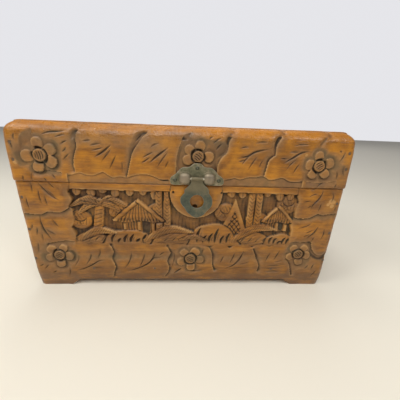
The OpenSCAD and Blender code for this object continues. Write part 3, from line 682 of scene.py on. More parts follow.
LID_VEINS = (
    ((-108, 145.8), (-103, 147.6), (-98, 148.6)), ((-104, 140), (-101, 142.4), (-97.5, 143.6)),
    ((-103.5, 134.2), (-101, 136), (-99, 138.8)), ((-103.5, 127), (-101, 130), (-97.3, 133.6)),
    ((-86, 143.4), (-82, 144.2), (-78.5, 144.6)), ((-80.5, 140), (-76, 141.4), (-70.5, 142.2)),
    ((-79.5, 136), (-74.5, 137.5), (-68.5, 139)), ((-71.8, 126.8), (-67.5, 132.5), (-62.5, 138.4)),
    ((-65.8, 120.6), (-62.5, 127), (-58.6, 134.4)), ((-54.6, 118), (-54.8, 124), (-54.2, 128)),
    ((-38.6, 127), (-34.5, 129.5), (-30.5, 132.4)), ((-37.5, 131.2), (-33, 134.2), (-27.5, 137)),
    ((-30.5, 140), (-27.5, 142.6), (-23, 144.2)), ((-25.2, 123.6), (-21, 130.4), (-15.6, 137.4)),
    ((-18.6, 123), (-17, 126.4), (-15.2, 129.8)), ((-44.5, 143), (-40, 148), (-36.5, 152)),
    ((18.8, 148.2), (20, 150.2), (22.6, 151.4)), ((22, 144.8), (25.5, 148.2), (30.2, 150.8)),
    ((24.8, 139.8), (27, 142.6), (30, 145.8)), ((46, 142), (49.5, 143.2), (53.5, 143)),
    ((44.6, 131), (48, 131.4), (51, 133)), ((48, 128), (50.5, 131.6), (54.5, 136.5)),
    ((54, 123), (57, 129), (61.5, 136.4)), ((63.8, 125.4), (65, 129.4), (67, 133.4)),
    ((58, 146.5), (64, 148), (70, 147.6)), ((92, 145.3), (98, 147), (106, 147)),
    ((88.6, 140.2), (93, 140.6), (98, 140.4)), ((81.5, 134.2), (85, 134.6), (88.6, 134.2)),
    ((88.6, 124.4), (91.5, 129.6), (96.5, 134.6)), ((95, 121), (97, 126), (100.2, 131.4)),
    ((-138.4, 148.4), (-139.6, 145.6), (-139.2, 142.6)), ((-142, 143.4), (-142.4, 139), (-141.3, 134.8)),
    ((139.4, 142.6), (138, 138), (136, 133.4)), ((134, 143.6), (135, 142.4), (136.4, 142)),
    ((134.6, 126), (136.2, 121.4), (136, 116.8)), ((140.5, 131), (140.8, 125.4), (142.5, 120)),
    ((-130.2, 118), (-131.2, 113.6), (-130.4, 108.8)), ((-114.6, 115.4), (-112.8, 113), (-111, 111.4)),
    ((-121, 112), (-120, 110.2), (-119.4, 108.8)), ((126, 114.4), (122, 112), (119.5, 108.8)),
    ((137.6, 114), (137, 111), (136, 108.8)), ((-137.6, 114), (-138.2, 111), (-138, 108.8)),
)


# Shallow dips of the lid's top edge where leaf edges cross it: place, width and depth
EDGE_DIPS = ((-87.5, 3.0, 0.7), (-30.5, 3.5, 0.8), (40.0, 3.0, 1.2), (83.5, 2.6, 1.3), (124.5, 2.6, 1.2))


# Rubbed and dusty places of the lid: middle, half sizes and film. The film patches at (-75, 146), (-30, 143),
# (0, 152) and (60, 146) are a painted sheen, the reflection on the leaves' upward-leaning tops.
LID_PATCHES = (
    (-76, 124, 22, 9, -0.5), (-30, 121, 20, 8, -0.5), (46, 123, 20, 9, -0.35), (84, 122, 14, 8, -0.4),
    (-130, 113, 22, 4, -0.4), (-75, 146, 26, 7, 0.5), (-30, 143, 20, 9, 0.5), (-105, 140, 12, 14, 0.3),
    (0, 152, 16, 4, 0.3), (138, 128, 8, 12, 0.5), (130, 116, 14, 4, 0.35), (60, 146, 25, 6, 0.2),
    (-142, 136, 5, 16, 0.35),
)


def carve_lid_front(relief):
    common_face(relief, 11, low_edge=LID_LOW, joint=True)
    x, z = relief.x, relief.z
    # The tops of the leaves lean back towards the rounded edge, most of all left of the middle
    lean = 0.8 + 1.5 * np.exp(-((x + 55) / 42) ** 2) * (1 + 0.12 * np.sin(x / 3.1))
    relief.deep += lean * smooth((z - 137) / 18) * smooth((166 - z) / 9)
    for patch in LID_PATCHES:
        relief.patch(*patch)
    for spot in ((-133.2, 146.9), (-141.3, 125.1, 1.6), (104.5, 138.3)):
        relief.chip_and_glare(*spot)
    # The plain strip under the leaves, between the two corner leaves
    below = np.interp(x, *curve(LID_SCALLOPS).T) - z
    strip = smooth((x + 101.6) / 0.9) * smooth((105.6 - x) / 0.9)
    step = smooth(below / 0.6 + 0.5)
    under = np.maximum(below, 0)
    relief.deep += strip * step * (0.3 + 0.85 * np.exp(-under / 2.4))
    # Film and a broken dark line right under the leaves' scallops are painted shade and shadow; the scallops'
    # edge gets a light rim.
    relief.cover(np.s_[:], strip * step * (0.22 + 0.25 * smooth(x / 80) + 0.3 * np.exp(-under / 2.5)))
    broken = np.clip(0.35 + 0.6 * np.sin(x / 9 + 1) * np.sin(x / 23) + 0.004 * x, 0.08, 1)
    relief.grime += 0.5 * strip * broken * step * np.exp(-(under / 0.6) ** 2)
    relief.rim += 0.6 * strip * (below < 0) * np.exp(below / 0.7)
    # The dark grounds beside the corner and middle flowers
    relief.sink(((-136, 136), (-134.5, 146), (-128, 151.8), (-124.6, 152.2), (-125.4, 146), (-127, 139)),
                1.5, 2)
    relief.sink(((-141, 132.6), (-137.5, 134), (-134.6, 129), (-132, 123.4), (-139, 121.8)), 1.1, 2.4,
                film_and_shading=0.75, dirt=0.2)
    relief.sink(((-6.6, 118), (-8.6, 127), (-7, 137), (-3.4, 146), (-3.4, 149), (4, 154), (5, 148.5),
                 (20, 148.5), (33, 146), (33.4, 138), (26, 131), (24.6, 118)), 1.2, 3)
    relief.sink(((-4.6, 147), (-3, 151), (3.6, 154.2), (2.4, 150.6), (1.4, 147.4)), 1.9, 1.5)
    for edge in LID_EDGES:
        relief.overlap(edge, drop=1.6, reach=3.6, high=-1, film_and_shading=0.6, line_dirt_and_shade=0.4)
    relief.overlap(((-9.6, 114), (-9, 122), (-8.4, 130), (-7.2, 138), (-4.6, 146), (-2.8, 151)), 0.9, 3,
                   high=1)
    relief.overlap(((105.6, 108.8), (105.3, 112), (105.4, 116)), 0.5, 3, high=-1)
    relief.overlap(((-101.6, 108.8), (-101.4, 112), (-101.8, 116.6)), 0.5, 3, high=1)
    # Gouged notches that run over the rounded edge
    for foot, tip in (((-95, 144), (-88.8, 156)), ((-45, 144), (-32, 157)), ((34.6, 144), (38.8, 156)),
                      ((76.5, 142), (82, 157)), ((115, 141), (122.4, 156))):
        middle = ((foot[0] + tip[0]) / 2 - 1.2, (foot[1] + tip[1]) / 2 + 0.6)
        relief.gouge((foot, middle, tip), 5.0, 1.2)
    # Where the notches cross the top edge it dips
    for place, width, deep in EDGE_DIPS:
        relief.deep += deep * np.exp(-((x - place) / width) ** 2) * smooth((z - 150) / 8)
    relief.flower(-121.8, 131.0, (92, 28, -32, -104, 184), reach=14.8, disc=5.4, turn=0.15)
    relief.flower(9.9, 133.9, (143, 80, 0, -95, -161), turn=0.9)
    relief.flower(118.4, 129.0, (101, 18, -48, -124, 174), reach=13.2, turn=2.2)
    relief.overlap(((-131, 116.4), (-126, 117.4), (-119, 118.2), (-111, 117.6), (-104.6, 116.8)), 0.7, 4,
                   high=1)
    relief.overlap(((108, 114.6), (118, 113.6), (128, 114.2), (137, 116.5)), 0.6, 4, high=1)
    relief.gouges(LID_MIDRIBS, 2.3, 1.5)
    relief.gouges(LID_VEINS, 1.7, 1.1)
    relief.gouge(((-24, 112.8), (-19, 112.4), (-14, 112.8)), 1.6, 1.4)
    relief.gouge(((31, 114.2), (36, 114.4), (42, 114.8)), 1.2, 0.8)
    # Flat seat behind the plate
    seat = near_line(x, z, ((-7, 113.8), (9.5, 119.4), (26, 113.8)))[0]
    relief.deep = np.where(z < 118, relief.deep * smooth((seat - 7.5) / 1.5) + 0.05, relief.deep)
    nail_dents(relief, LID_NAIL_Z)


# Where the sunk fields of the body's front and ends begin and end
FIELD_LOW, FIELD_TOP = 49.0, 102.0
# Edges of the leaves under the scene, from the scene down; the left side of each lies over the right one
BODY_EDGES = (
    ((-74, 48.5), (-70.6, 44), (-69.5, 38), (-71.8, 31.5), (-69.5, 26), (-68.8, 21), (-70.5, 16),
     (-72.2, 8)),
    ((-19.5, 48), (-15.6, 42.5), (-14.1, 37), (-17.2, 29.3), (-15.7, 23), (-16, 17), (-18, 13.5),
     (-21, 9)),
    ((22.5, 47), (26, 41), (27.8, 34), (27.9, 27), (28.8, 22), (31, 16)),
    ((67.5, 45), (71, 38), (72.6, 33), (75, 28), (76.4, 22), (75.2, 15)),
    ((103.5, 33), (106.5, 29), (109, 24.5), (110.4, 19), (112.4, 11.5)),
)
SCENE_LOW = (
    (-106, 48), (-103.5, 50), (-99, 51), (-95, 49.5), (-92, 47.6), (-86, 48), (-78, 48.8), (-73, 48.6),
    (-66, 48.6), (-60, 50), (-53, 50.6), (-45, 51), (-38, 48.6), (-30, 48.2), (-20, 48.6), (-15, 47.6),
    (-8, 48.4), (0, 47.6), (10, 47.6), (17, 47.2), (22, 46), (25, 45), (30, 48), (35, 49.4), (40, 48.2),
    (44.5, 45), (48, 47.2), (56, 48.9), (63, 48.2), (67, 46.2), (72, 48.2), (76.5, 49.5), (81, 48.3),
    (85, 46.8), (90, 48.8), (95, 49.8), (100, 48.9), (106, 48),
)
SCENE_LEFT = (
    (47, -103), (52, -103), (56, -102.3), (60, -103.2), (65, -104.8), (70, -102), (76, -101.8),
    (83, -102.5), (85.5, -104.6), (88.5, -103), (93, -101.6), (99.5, -103.8), (102, -102.6),
    (105, -101.8), (109, -101),
)
SCENE_RIGHT = (
    (47, 104.2), (52, 102.8), (58, 103.3), (64, 104.2), (70, 102.5), (75, 103.2), (79, 105), (84, 104.2),
    (88, 104), (94, 106), (99, 104.2), (102, 103.8), (105, 103.8), (109, 103.6),
)
BODY_MIDRIBS = (
    ((-107.5, 17.8), (-100, 19.5), (-91, 24.5), (-84, 28.6), (-75, 30.2)),
    ((-58.5, 16.2), (-51, 18.5), (-43, 22.2), (-36, 26.6), (-31, 31.6), (-27, 32.2), (-21, 33.2)),
    ((38.5, 19.6), (48, 23.8), (54.6, 29.6), (57.6, 35.5), (58.6, 43)),
    ((-128.4, 108.4), (-124.4, 101.4), (-118, 95), (-110.6, 91.2)),
    ((-133, 76.4), (-132.4, 70), (-130, 62), (-124.8, 51)),
    ((127.8, 108.4), (127.2, 103), (124.2, 97), (120.6, 92.6), (118.8, 85.6)),
    ((130.4, 70.4), (127.2, 63), (120.6, 55.6)), ((-11, 14.2), (-7.5, 16.8), (-2.6, 20.8)),
)
BODY_VEINS = (
    ((-103, 35.4), (-104, 29.4), (-108.4, 22.2)), ((-90.8, 38.4), (-93, 30.4), (-97.6, 23.6)),
    ((-81.2, 44.4), (-82.8, 37), (-85.6, 30.4)), ((-92.6, 20.2), (-86, 21), (-79.6, 20.6)),
    ((-51.8, 40.6), (-54, 30), (-60.6, 18.6)), ((-38.8, 38.6), (-41.4, 30), (-45.6, 21.2)),
    ((-29.2, 40.2), (-30.6, 34), (-34.6, 28)), ((-20, 39.4), (-22.6, 37.4), (-25.4, 34.8)),
    ((-11, 41), (-10.4, 32), (-12, 25), (-14.4, 19)), ((3, 17.8), (10, 17), (19.4, 18.6)),
    ((17, 35.4), (17.4, 40), (18.8, 45)), ((39.2, 35.4), (38, 31), (35.6, 26.6)),
    ((50.4, 40.4), (49, 33), (44.8, 25.4)), ((66.4, 28.8), (61, 27), (55.6, 26.4)),
    ((63.6, 22.6), (53, 21.4), (43.6, 19.2)), ((86.6, 40.6), (85, 33.6), (82.2, 27.6)),
    ((95.2, 43.4), (94.2, 36), (91.2, 30)), ((101.2, 30.8), (97, 29.4), (91.6, 28.6)),
    ((82, 24.4), (91, 25), (102.4, 25.4)), ((82, 20.6), (88.6, 20.2), (95.6, 20)),
    ((84, 16.6), (93, 17.2), (100, 16.4)), ((-134, 108.4), (-134.2, 103), (-134, 97.2)),
    ((-128.8, 103.4), (-128.8, 96), (-127, 87.4)), ((-124.2, 97.4), (-123.8, 92), (-122.8, 86)),
    ((-139.8, 95.4), (-140, 88), (-138.8, 81.6)), ((-119.8, 108.4), (-117.4, 105), (-114.2, 102)),
    ((-122.6, 101.4), (-118.6, 97.6), (-114.6, 93.8)), ((-122.2, 73.4), (-119.8, 69.4), (-115.8, 64.6)),
    ((-128.4, 63.4), (-125, 60.4), (-119.6, 57)), ((-139.8, 68.6), (-140.4, 65.6), (-141.2, 62.4)),
    ((-135.8, 65.6), (-136.6, 61), (-137.4, 56.4)), ((-132.8, 59.6), (-133.2, 55), (-133, 50.4)),
    ((-138.2, 50.4), (-138.8, 44), (-139.4, 37.2)), ((-136.6, 19.8), (-134.8, 22), (-132.2, 24.8)),
    ((-130.4, 15.2), (-128, 16.2), (-125.8, 17.8)), ((-112.8, 23.4), (-113.2, 17), (-115.2, 10.4)),
    ((-141.8, 23.2), (-139.4, 23.8), (-136.8, 25.6)), ((124.4, 103.2), (119, 102), (114, 99.4)),
    ((118.4, 96.2), (114, 95.4), (109.4, 94.2)), ((120.4, 91.8), (118, 90.6), (115.2, 88.8)),
    ((127.6, 95.4), (127.8, 90), (126.6, 84)), ((136, 105.6), (138.4, 101), (137, 94.6)),
    ((121, 108.4), (118, 107), (114.6, 106)), ((124.4, 74.2), (119, 70), (109.6, 67)),
    ((125.4, 66.4), (122, 63.8), (118, 62.4)), ((123.4, 61.2), (120, 59.2), (116.6, 58.4)),
    ((128.6, 58.6), (128, 55.8), (126.8, 52.6)), ((136.4, 69), (137.2, 61), (135.4, 53.6)),
    ((144, 63.6), (144.4, 56), (141.8, 48.6)), ((135, 27.4), (133.8, 24), (131.8, 19.6)),
    ((138.2, 20.6), (136.6, 15.6), (132.8, 10.2)), ((129.4, 26), (127.6, 23.4), (124.8, 20.4)),
    ((143.6, 92), (142.6, 87), (141.4, 84.6)), ((141.8, 33), (143.4, 28), (143.4, 22)),
)


# Rubbed and dusty places of the body's front: middle, half sizes and film. On the low row of leaves the bands
# paint the light and shade of its double roll: the rubbed bands at z 23 to 24 and 43 to 43.5 are painted
# light, the film bands at z 33 to 33.5 painted shade.
BODY_PATCHES = (
    (-30, 24, 60, 4, -0.45), (60, 23, 40, 4, -0.3), (-60, 43.5, 50, 3.5, -0.45), (60, 43, 40, 4, -0.25),
    (-60, 33.5, 48, 3.8, 0.7), (50, 33, 40, 4, 0.45), (-125, 92, 14, 9, -0.3), (-125, 70, 22, 4, -0.5),
    (-125, 62, 20, 4, 0.4), (120, 66, 14, 7, -0.35), (118, 96, 10, 7, -0.35), (137, 86, 8, 14, 0.35),
    (0, 105.3, 105, 3.5, -0.9), (-140, 40, 8, 30, 0.3), (128, 25, 14, 6, 0.35), (-70, 74, 40, 20, -0.35),
    (60, 72, 50, 20, -0.35), (-10, 60, 60, 10, -0.2),
)


def carve_body_front(relief):
    common_face(relief, 12, high_edge=BODY_TOP, joint=True)
    x, z = relief.x, relief.z
    # The row of leaves under the scene is a double roll, and each border leaf swells in its middle
    low_row = smooth((50 - z) / 4) * smooth((108 - np.abs(x)) / 8)
    relief.deep += low_row * (0.85 - 0.85 * np.cos((z - 25) / 18 * 2 * math.pi)) * smooth((z - 14) / 6)
    sides = smooth((np.abs(x) - 106) / 6) * smooth((146 - np.abs(x)) / 14)
    swell = 0.6 - 0.6 * np.cos((z - np.where(x < 0, 90, 66)) / 29 * 2 * math.pi)
    relief.deep += sides * swell * smooth((z - 20) / 10)
    for patch in BODY_PATCHES:
        relief.patch(*patch)
    # Pale spots: a chip at (-30.2, 20.6), and a group round (137, 96) that is a painted highlight, the glare
    # on the varnish.
    for spot in ((-30.2, 20.6), (137, 96, 2.2), (138.5, 91.5, 1.6), (134.5, 93, 1.2), (139.5, 95.5, 1.4)):
        relief.chip_and_glare(*spot)
    relief.deep += 0.3 * np.exp(-np.abs(z - FACET_Z) / 1.2) * smooth((np.abs(x) - 20) / 20)
    for edge in BODY_EDGES:
        relief.overlap(edge, drop=1.5, reach=3.4, high=-1, film_and_shading=0.65)
    relief.overlap(((-147.6, 78.6), (-141, 78), (-136, 77.2), (-131, 77), (-127, 79), (-124, 80.3),
                    (-119, 79.6), (-113, 79.8), (-108, 82.3), (-104.6, 85.5)), 1.3, 4.5, ends=0.03)
    relief.overlap(((-132, 47.2), (-124, 48.6), (-117, 50), (-110, 51), (-103.4, 50.4)), 1.0, 4)
    relief.overlap(((103.8, 79), (109, 77.6), (116, 77.4), (121, 78.6), (125, 81), (128, 82.2), (133, 81.4),
                    (139, 82.6), (147.6, 83.8)), 1.3, 4.5, ends=0.03)
    relief.overlap(((104.4, 51.6), (110, 52.1), (116, 51.6), (122, 52.2), (127.2, 52.6)), 0.8, 3.5)
    relief.overlap(((127.4, 53), (128.4, 47), (130.4, 42.2), (133.4, 38.8), (138, 37), (142, 38.4),
                    (147.6, 41)), 1.5, 4.5, ends=0.05)
    # Painted shadow: a dark sunk ground under the edge of the right border leaf.
    relief.sink(((127.5, 44), (130, 39.5), (134, 36.6), (139, 34.6), (147.4, 39.6), (147.4, 35), (140, 31.6),
                 (133, 33.2), (127, 38)), 2.2, 2, dirt=0.4)
    carve_scene(relief)
    relief.flower(-120.9, 35.2, (58, -6, -88, 196, 134), reach=13.2, turn=1.0)
    relief.flower(5.6, 32.0, (131, 60, -4, -86, -160), disc=5.3, ring=0.8, turn=2.0)
    relief.flower(115.6, 38.3, (129, 56, -6, -78, -162), reach=12.6, turn=0.8)
    relief.gouges(BODY_MIDRIBS, 2.2, 1.5)
    relief.gouges(BODY_VEINS, 1.7, 1.15)
    nail_dents(relief, BODY_NAIL_Z, BOTTOM_NAILS)


def sink_field(relief, inside, ground, slope):
    """Lowers a field to its ground; inside is the distance in from its edge."""
    sunk = np.maximum(relief.deep, ground * smooth(inside / slope + 0.35))
    relief.deep = np.where(inside > 0, sunk, relief.deep)


def carve_scene(relief):
    """A sunk village scene of common folk motifs: huts, a palm, reeds and a trellis behind rounded mounds."""
    x, z = relief.x, relief.z
    low = np.interp(x, *curve(SCENE_LOW).T)
    left = np.interp(z, *curve(SCENE_LEFT).T)
    right = np.interp(z, *curve(SCENE_RIGHT).T)
    top = FIELD_TOP + 0.4 * np.sin(x / 23)
    inside = np.minimum(np.minimum(x - left, right - x), np.minimum(top - z, z - low))
    ground = 4.5 + 0.16 * np.sin(x * 1.9 + 0.9 * np.sin(z * 0.3)) + 0.4 * np.sin(x * 0.37 + z * 0.21)
    sink_field(relief, inside, ground, 1.6)
    # The rail's and the border leaves' edges round off towards the field
    relief.deep += 0.5 * np.exp(-np.abs(np.minimum(inside, 0)) / 0.8) * (inside <= 0) * (z < 103) * (z > 46)
    for edge in (left, right):
        relief.deep += 0.9 * np.exp(-np.abs(x - edge) / 0.8) * (z > 101)
    border = relief.deep.copy()

    # Crowns of far trees behind everything, and leaves that hang from the rail
    for cx, cz, r in ((-60, 82, 11), (-25, 80, 12), (38, 82, 11), (97, 91, 11), (70, 72, 12), (-97, 72, 11)):
        crown(relief, cx, cz, r)
    rail_z = 103.4
    for i in range(18):
        place = -97 + i * 11.5
        if abs(place - LATCH_X) > 26:
            hanging = 7.5 + 2.6 * math.sin(i * 2.4)
            tip = (place + 2.2 * math.sin(i * 1.7), rail_z - hanging)
            spear(relief, (place, rail_z), tip, 3.6, 1.2)
    # Reeds: two stands, with feathered cuts
    for places in ((-24.5, -17.2), (61.5, 68.8)):
        for place in places:
            blade = relief.raised(((place - 2.9, 47), (place - 3.4, 76), (place - 2.8, 101.8),
                                   (place + 2.6, 101.8), (place + 3.3, 74), (place + 2.9, 47)), 0.7, 0.4,
                                  round_off=False)
            relief.hatch(blade, pitch=3.6, deep=1.0, share=0.34, spine=((place, 47), (place + 0.4, 102)),
                         margin=0.4)
    # Palm: a leaning trunk, ringed, under a fan of fronds
    trunk = relief.raised(((-88.6, 48), (-86.2, 64), (-81.4, 88), (-74.6, 88), (-77.2, 64), (-77.8, 48)),
                          1.0, 1.2)
    relief.hatch(trunk, angle=14, pitch=3.6, deep=1.0, share=0.34)
    heart = (-77.6, 89.0)
    for angle, length in ((214, 25), (180, 27), (146, 20), (34, 20), (0, 26), (-34, 24), (92, 11)):
        c, s = heading(angle)
        frond(relief, heart, (heart[0] + length * c, heart[1] + length * s * 0.55 - 0.12 * length), 6.4, 0.8)
    hut(relief, -43.5, 75.0, 24, 18)
    hut(relief, 89.0, 76.0, 16, 14)
    # Trellis: a leaning frame filled with crossed laths
    relief.raised(((30.6, 55), (46.6, 96), (62.6, 55)), 1.0, 0.3, round_off=False)
    inner = ((36.4, 58.6), (46.6, 86), (56.8, 58.6))
    at = relief.near(np.array(inner), 2)
    gap = within(relief.x[at], relief.z[at], inner)
    relief.deep[at] += 0.6 * smooth(gap / 0.5)
    for angle in (50, -50):
        relief.hatch((at, gap), angle=angle, pitch=3.6, deep=1.3, share=0.36, margin=0.1)
    mounds(relief)
    relief.deep = np.where(inside > -0.2, relief.deep, border)
    boss(relief)


def crown(relief, cx, cz, r):
    """A round tree crown or bush, combed upwards from its foot."""
    outline = [(cx + r * (1 + 0.09 * math.sin(5 * t + cx)) * math.cos(t), cz + r * 0.85 * math.sin(t))
               for t in np.linspace(0, 2 * math.pi, 13)[:-1]]
    relief.raised(outline, 2.3, 0.7, ditch=1.6, ditch_w=0.8)
    for i, (px, pz, size) in enumerate(((-0.42, -0.1, 0.52), (0.45, -0.15, 0.5), (0.02, 0.42, 0.5))):
        lobe = [(cx + r * (px + size * math.cos(t)), cz + r * 0.85 * (pz + size * math.sin(t)))
                for t in np.linspace(0, 2 * math.pi, 9)[:-1]]
        leaf = relief.raised(lobe, 1.7, 0.6, ditch=1.4, ditch_w=0.7)
        relief.hatch(leaf, angle=62 + 28 * i, pitch=2.9, deep=0.9, share=0.4, margin=0.9)


def course(foot, tip):
    """Run, rise and length from foot to tip, and the direction square to it."""
    dx, dz = tip[0] - foot[0], tip[1] - foot[1]
    length = math.hypot(dx, dz)
    return dx, dz, length, (-dz / length, dx / length)


def spear(relief, foot, tip, width, top):
    """A narrow upright leaf with a midrib."""
    dx, dz, _, (nx, nz) = course(foot, tip)
    outline = [(foot[0] + dx * t + side * nx * width * w, foot[1] + dz * t + side * nz * width * w)
               for side, places in ((1, ((0, 0.5), (0.35, 1), (0.75, 0.7), (1, 0))),
                                    (-1, ((0.75, 0.7), (0.35, 1), (0, 0.5)))) for t, w in places]
    relief.raised(outline, top, 0.5)
    relief.gouge((foot, (foot[0] + dx / 2, foot[1] + dz / 2), tip), 1.1, 0.8)


def frond(relief, foot, tip, width, top):
    """A drooping leaf, combed on both sides of its midrib."""
    dx, dz, length, (nx, nz) = course(foot, tip)
    sag = 0.16 * length
    middle = (foot[0] + dx * 0.5, foot[1] + dz * 0.5 + sag)
    line = curve([foot, middle, tip], 6)
    share = np.linspace(0, 1, len(line))
    wide = width * np.sin(np.pi * np.clip(share * 0.9 + 0.08, 0, 1)) ** 0.7 / 2
    shift = np.stack([nx * wide, nz * wide], -1)
    outline = np.vstack([line + shift, (line - shift)[::-1]])
    leaf = relief.raised(outline, top, 0.5, round_off=False, ditch_w=0.8)
    relief.hatch(leaf, pitch=2.8, deep=1.0, share=0.36, spine=(foot, tip), margin=0.2)
    relief.gouge([foot, middle, tip], 1.1, 0.8)


def hut(relief, cx, base, span, rise):
    """A thatched hut: posts, a dark doorway, a combed roof with barge boards and a fringe."""
    foot = base - rise * 0.9
    half = span * 0.62
    wall = relief.raised(((cx - half, foot), (cx - half, base + 3), (cx + half, base + 3), (cx + half, foot)),
                         3.2, 0.2, round_off=False)
    relief.hatch(wall, angle=90, pitch=2.6, deep=0.9)
    for share in (-0.55, 0.0, 0.55):
        px = cx + share * span
        relief.raised(((px - 1.6, foot), (px - 1.4, base + 2), (px + 1.4, base + 2), (px + 1.7, foot)),
                      1.7, 0.3, round_off=False)
    near, far = cx + span * 0.12, cx + span * 0.4
    relief.sink(((near, foot + 1), (near, base - 3), (far, base - 3), (far, foot + 1)), 4.8, 0.8)
    roof = relief.raised(((cx - span, base - 3), (cx - span + 3, base + 1), (cx, base + rise),
                          (cx + span - 3, base + 1), (cx + span, base - 3),
                          (cx + span * 0.55, base - 4.6), (cx, base - 2.6),
                          (cx - span * 0.55, base - 4.8)), 1.5, 0.5, round_off=False)
    relief.hatch(roof, fan=(cx, base + rise * 2.1), pitch=4.6, deep=1.1, share=0.4, margin=1.6)
    for side in (-1, 1):
        ridge = ((cx + side * (span + 0.5), base - 2.2), (cx + side * span * 0.5, base + rise * 0.52),
                 (cx, base + rise + 1.2), (cx - side * 1.6, base + rise - 1.6),
                 (cx + side * span * 0.46, base + rise * 0.3), (cx + side * (span - 3.4), base - 3.6))
        relief.raised(ridge, 0.9, 0.3, round_off=False)
    count = int(span / 1.6)
    for i in range(count):
        fx = cx - span * 0.8 + (i + 0.5) * span * 1.6 / count
        lean = (fx - cx) * 0.12
        relief.gouge(((fx, base + 0.8), (fx + lean * 0.6, base - 2.4), (fx + lean, base - 5.4)), 1.3, 1.4)


def mounds(relief):
    """Rounded hills along the foot of the scene, some with claw-like cuts, some with combed grass."""
    hills = (
        (-89, 59, 16, "grass"), (64, 62, 20, "grass"), (-54, 62.5, 22, "claws"), (95, 60, 16, "claws"),
        (-10.4, 66, 20, "grass"), (27, 70.5, 21.5, "claws"),
    )
    for cx, crest, half, kind in hills:
        outline = [(cx - half * 1.15, 46.5)]
        for t in np.linspace(math.pi * 0.94, math.pi * 0.06, 9):
            rise = (crest - 49) * math.sin(t) ** 0.8
            outline.append((cx + half * math.cos(t) * 1.02, 49 + rise + 0.5 * math.sin(t * 5 + cx)))
        outline.append((cx + half * 1.15, 46.5))
        hill = relief.raised(outline, 0.35, 1.5, ditch=2.4, ditch_w=1.2)
        if kind == "grass":
            relief.hatch(hill, fan=(cx - half * 1.4, 44), pitch=5.4, deep=0.7, share=0.4, margin=2.2)
            for i in range(4):
                sx = cx - half * 0.5 + i * half * 0.36
                relief.gouge(((sx, 50.5), (sx + 2.2, 54), (sx + 6, 56.6 + i % 2)), 1.6, 1.1)
        else:
            for i in range(6):
                sx = cx - half * 0.72 + i * half * 0.27
                tall = (crest - 50) * (0.62 + 0.22 * math.sin(i * 2.1 + cx))
                relief.gouge(((sx, 49.4), (sx + 0.6, 49.4 + tall * 0.55), (sx + 3.6, 49.6 + tall)), 3.0, 2.6)
                relief.gouge(((sx + 2.6, 50.4), (sx + 3.2, 50.4 + tall * 0.45),
                              (sx + 5.6, 50.8 + tall * 0.8)), 1.2, 0.9)
    # Broad blades lying over the hills
    for foot, tip, width in (((-101, 51.5), (-64, 60), 7.5), ((-40, 51.5), (8, 61), 8.0),
                             ((44, 51), (88, 66), 8.0), ((-6, 53), (24, 50.8), 5.0)):
        frond(relief, foot, tip, width, 0.2)


BOSS_Z, BOSS_R = 100.8, 24.2
# Two nail holes and the staple's hole: middle, radius and depth
BOSS_HOLES = ((-11.5, 101.6, 0.7, 2.2), (32.5, 102.0, 0.7, 2.2), (8.3, 88.3, 1.8, 3.0))


def boss(relief):
    """The smooth half-round boss behind the hasp, with the holes left by the latch's lower half."""
    r = BOSS_R
    x, z = relief.x, relief.z
    q = np.hypot(x - LATCH_X, z - BOSS_Z)
    ditch = (q >= r) & (q < r + 1.0) & (z < FIELD_TOP)
    relief.deep = np.where(ditch, np.maximum(relief.deep, 3.0), relief.deep)
    dome = 0.12 + 0.8 * np.clip((q - (r - 6)) / 6, 0, 1) ** 2.5 + 0.5 * np.exp(-np.maximum(r - q, 0) / 0.7)
    relief.deep = np.where(q < r, dome + 0.5 * np.exp(-(BODY_TOP - z) / 0.6), relief.deep)
    for grid in (relief.grime, relief.haze):
        grid[q < r] = 0
    relief.rim = np.where(q < r, 0.6 * np.exp(-(r - q) / 0.7), relief.rim)
    for hole in BOSS_HOLES:
        relief.dent(*hole)


def end_leaves(relief, feet, tips, foot_z, tip_z, high, bend):
    """A row of curved leaf edges on an end board."""
    for foot, tip in zip(feet, tips):
        middle = (foot + tip) / 2 + bend
        relief.overlap(((foot, foot_z), (middle, (foot_z + tip_z) / 2), (tip, tip_z)), 1.1, 5.5, high=high)


def leaf_veins(relief, foot, tip, spread, count, width=1.7):
    """A midrib from foot to tip, with a fan of shorter veins on both sides."""
    (fx, fz), (tx, tz) = foot, tip
    dx, dz = tx - fx, tz - fz
    relief.gouge((foot, (fx + dx * 0.5 - dz * 0.06, fz + dz * 0.5 + dx * 0.06), tip), width * 1.3, 1.4)
    for i in range(count):
        t = 0.18 + 0.62 * i / max(count - 1, 1)
        for side in (-1, 1):
            bx, bz = fx + dx * t - side * dz * 0.1, fz + dz * t + side * dx * 0.1
            ex, ez = bx + dx * 0.26 - side * dz * spread, bz + dz * 0.26 + side * dx * spread
            relief.gouge(((bx, bz), ((bx + ex) / 2 + dx * 0.03, (bz + ez) / 2 + dz * 0.03), (ex, ez)),
                         width, 1.0)


# Half the width of the ends' sunk field, and of the lid's strip above it
END_FIELD = 45.0
FIVE_PETALS = (90, 18, -54, -126, 162)


def carve_lid_end(relief, seed):
    common_face(relief, seed, low_edge=LID_LOW)
    x, z = relief.x, relief.z
    scallop = 115.6 + 1.4 * np.abs(np.sin(x / 42 * math.pi + 0.3 * seed))
    below = scallop - z
    strip = smooth((END_FIELD + 0.4 - np.abs(x)) / 0.9)
    relief.deep += strip * smooth(below / 0.5 + 0.5) * (0.35 + 0.85 * np.exp(-np.maximum(below, 0) / 2.6))
    end_leaves(relief, (-42, 0, 42), (-33, 9, 51), 116, 154, -1, -1.5)
    for place in (-62, -20, 22, 62):
        leaf_veins(relief, (place + 12, 147), (place - 6, 122), 0.24, 4)
    relief.deep += 0.35 * np.exp(-(INNER_Y - np.abs(x)) / 0.5)


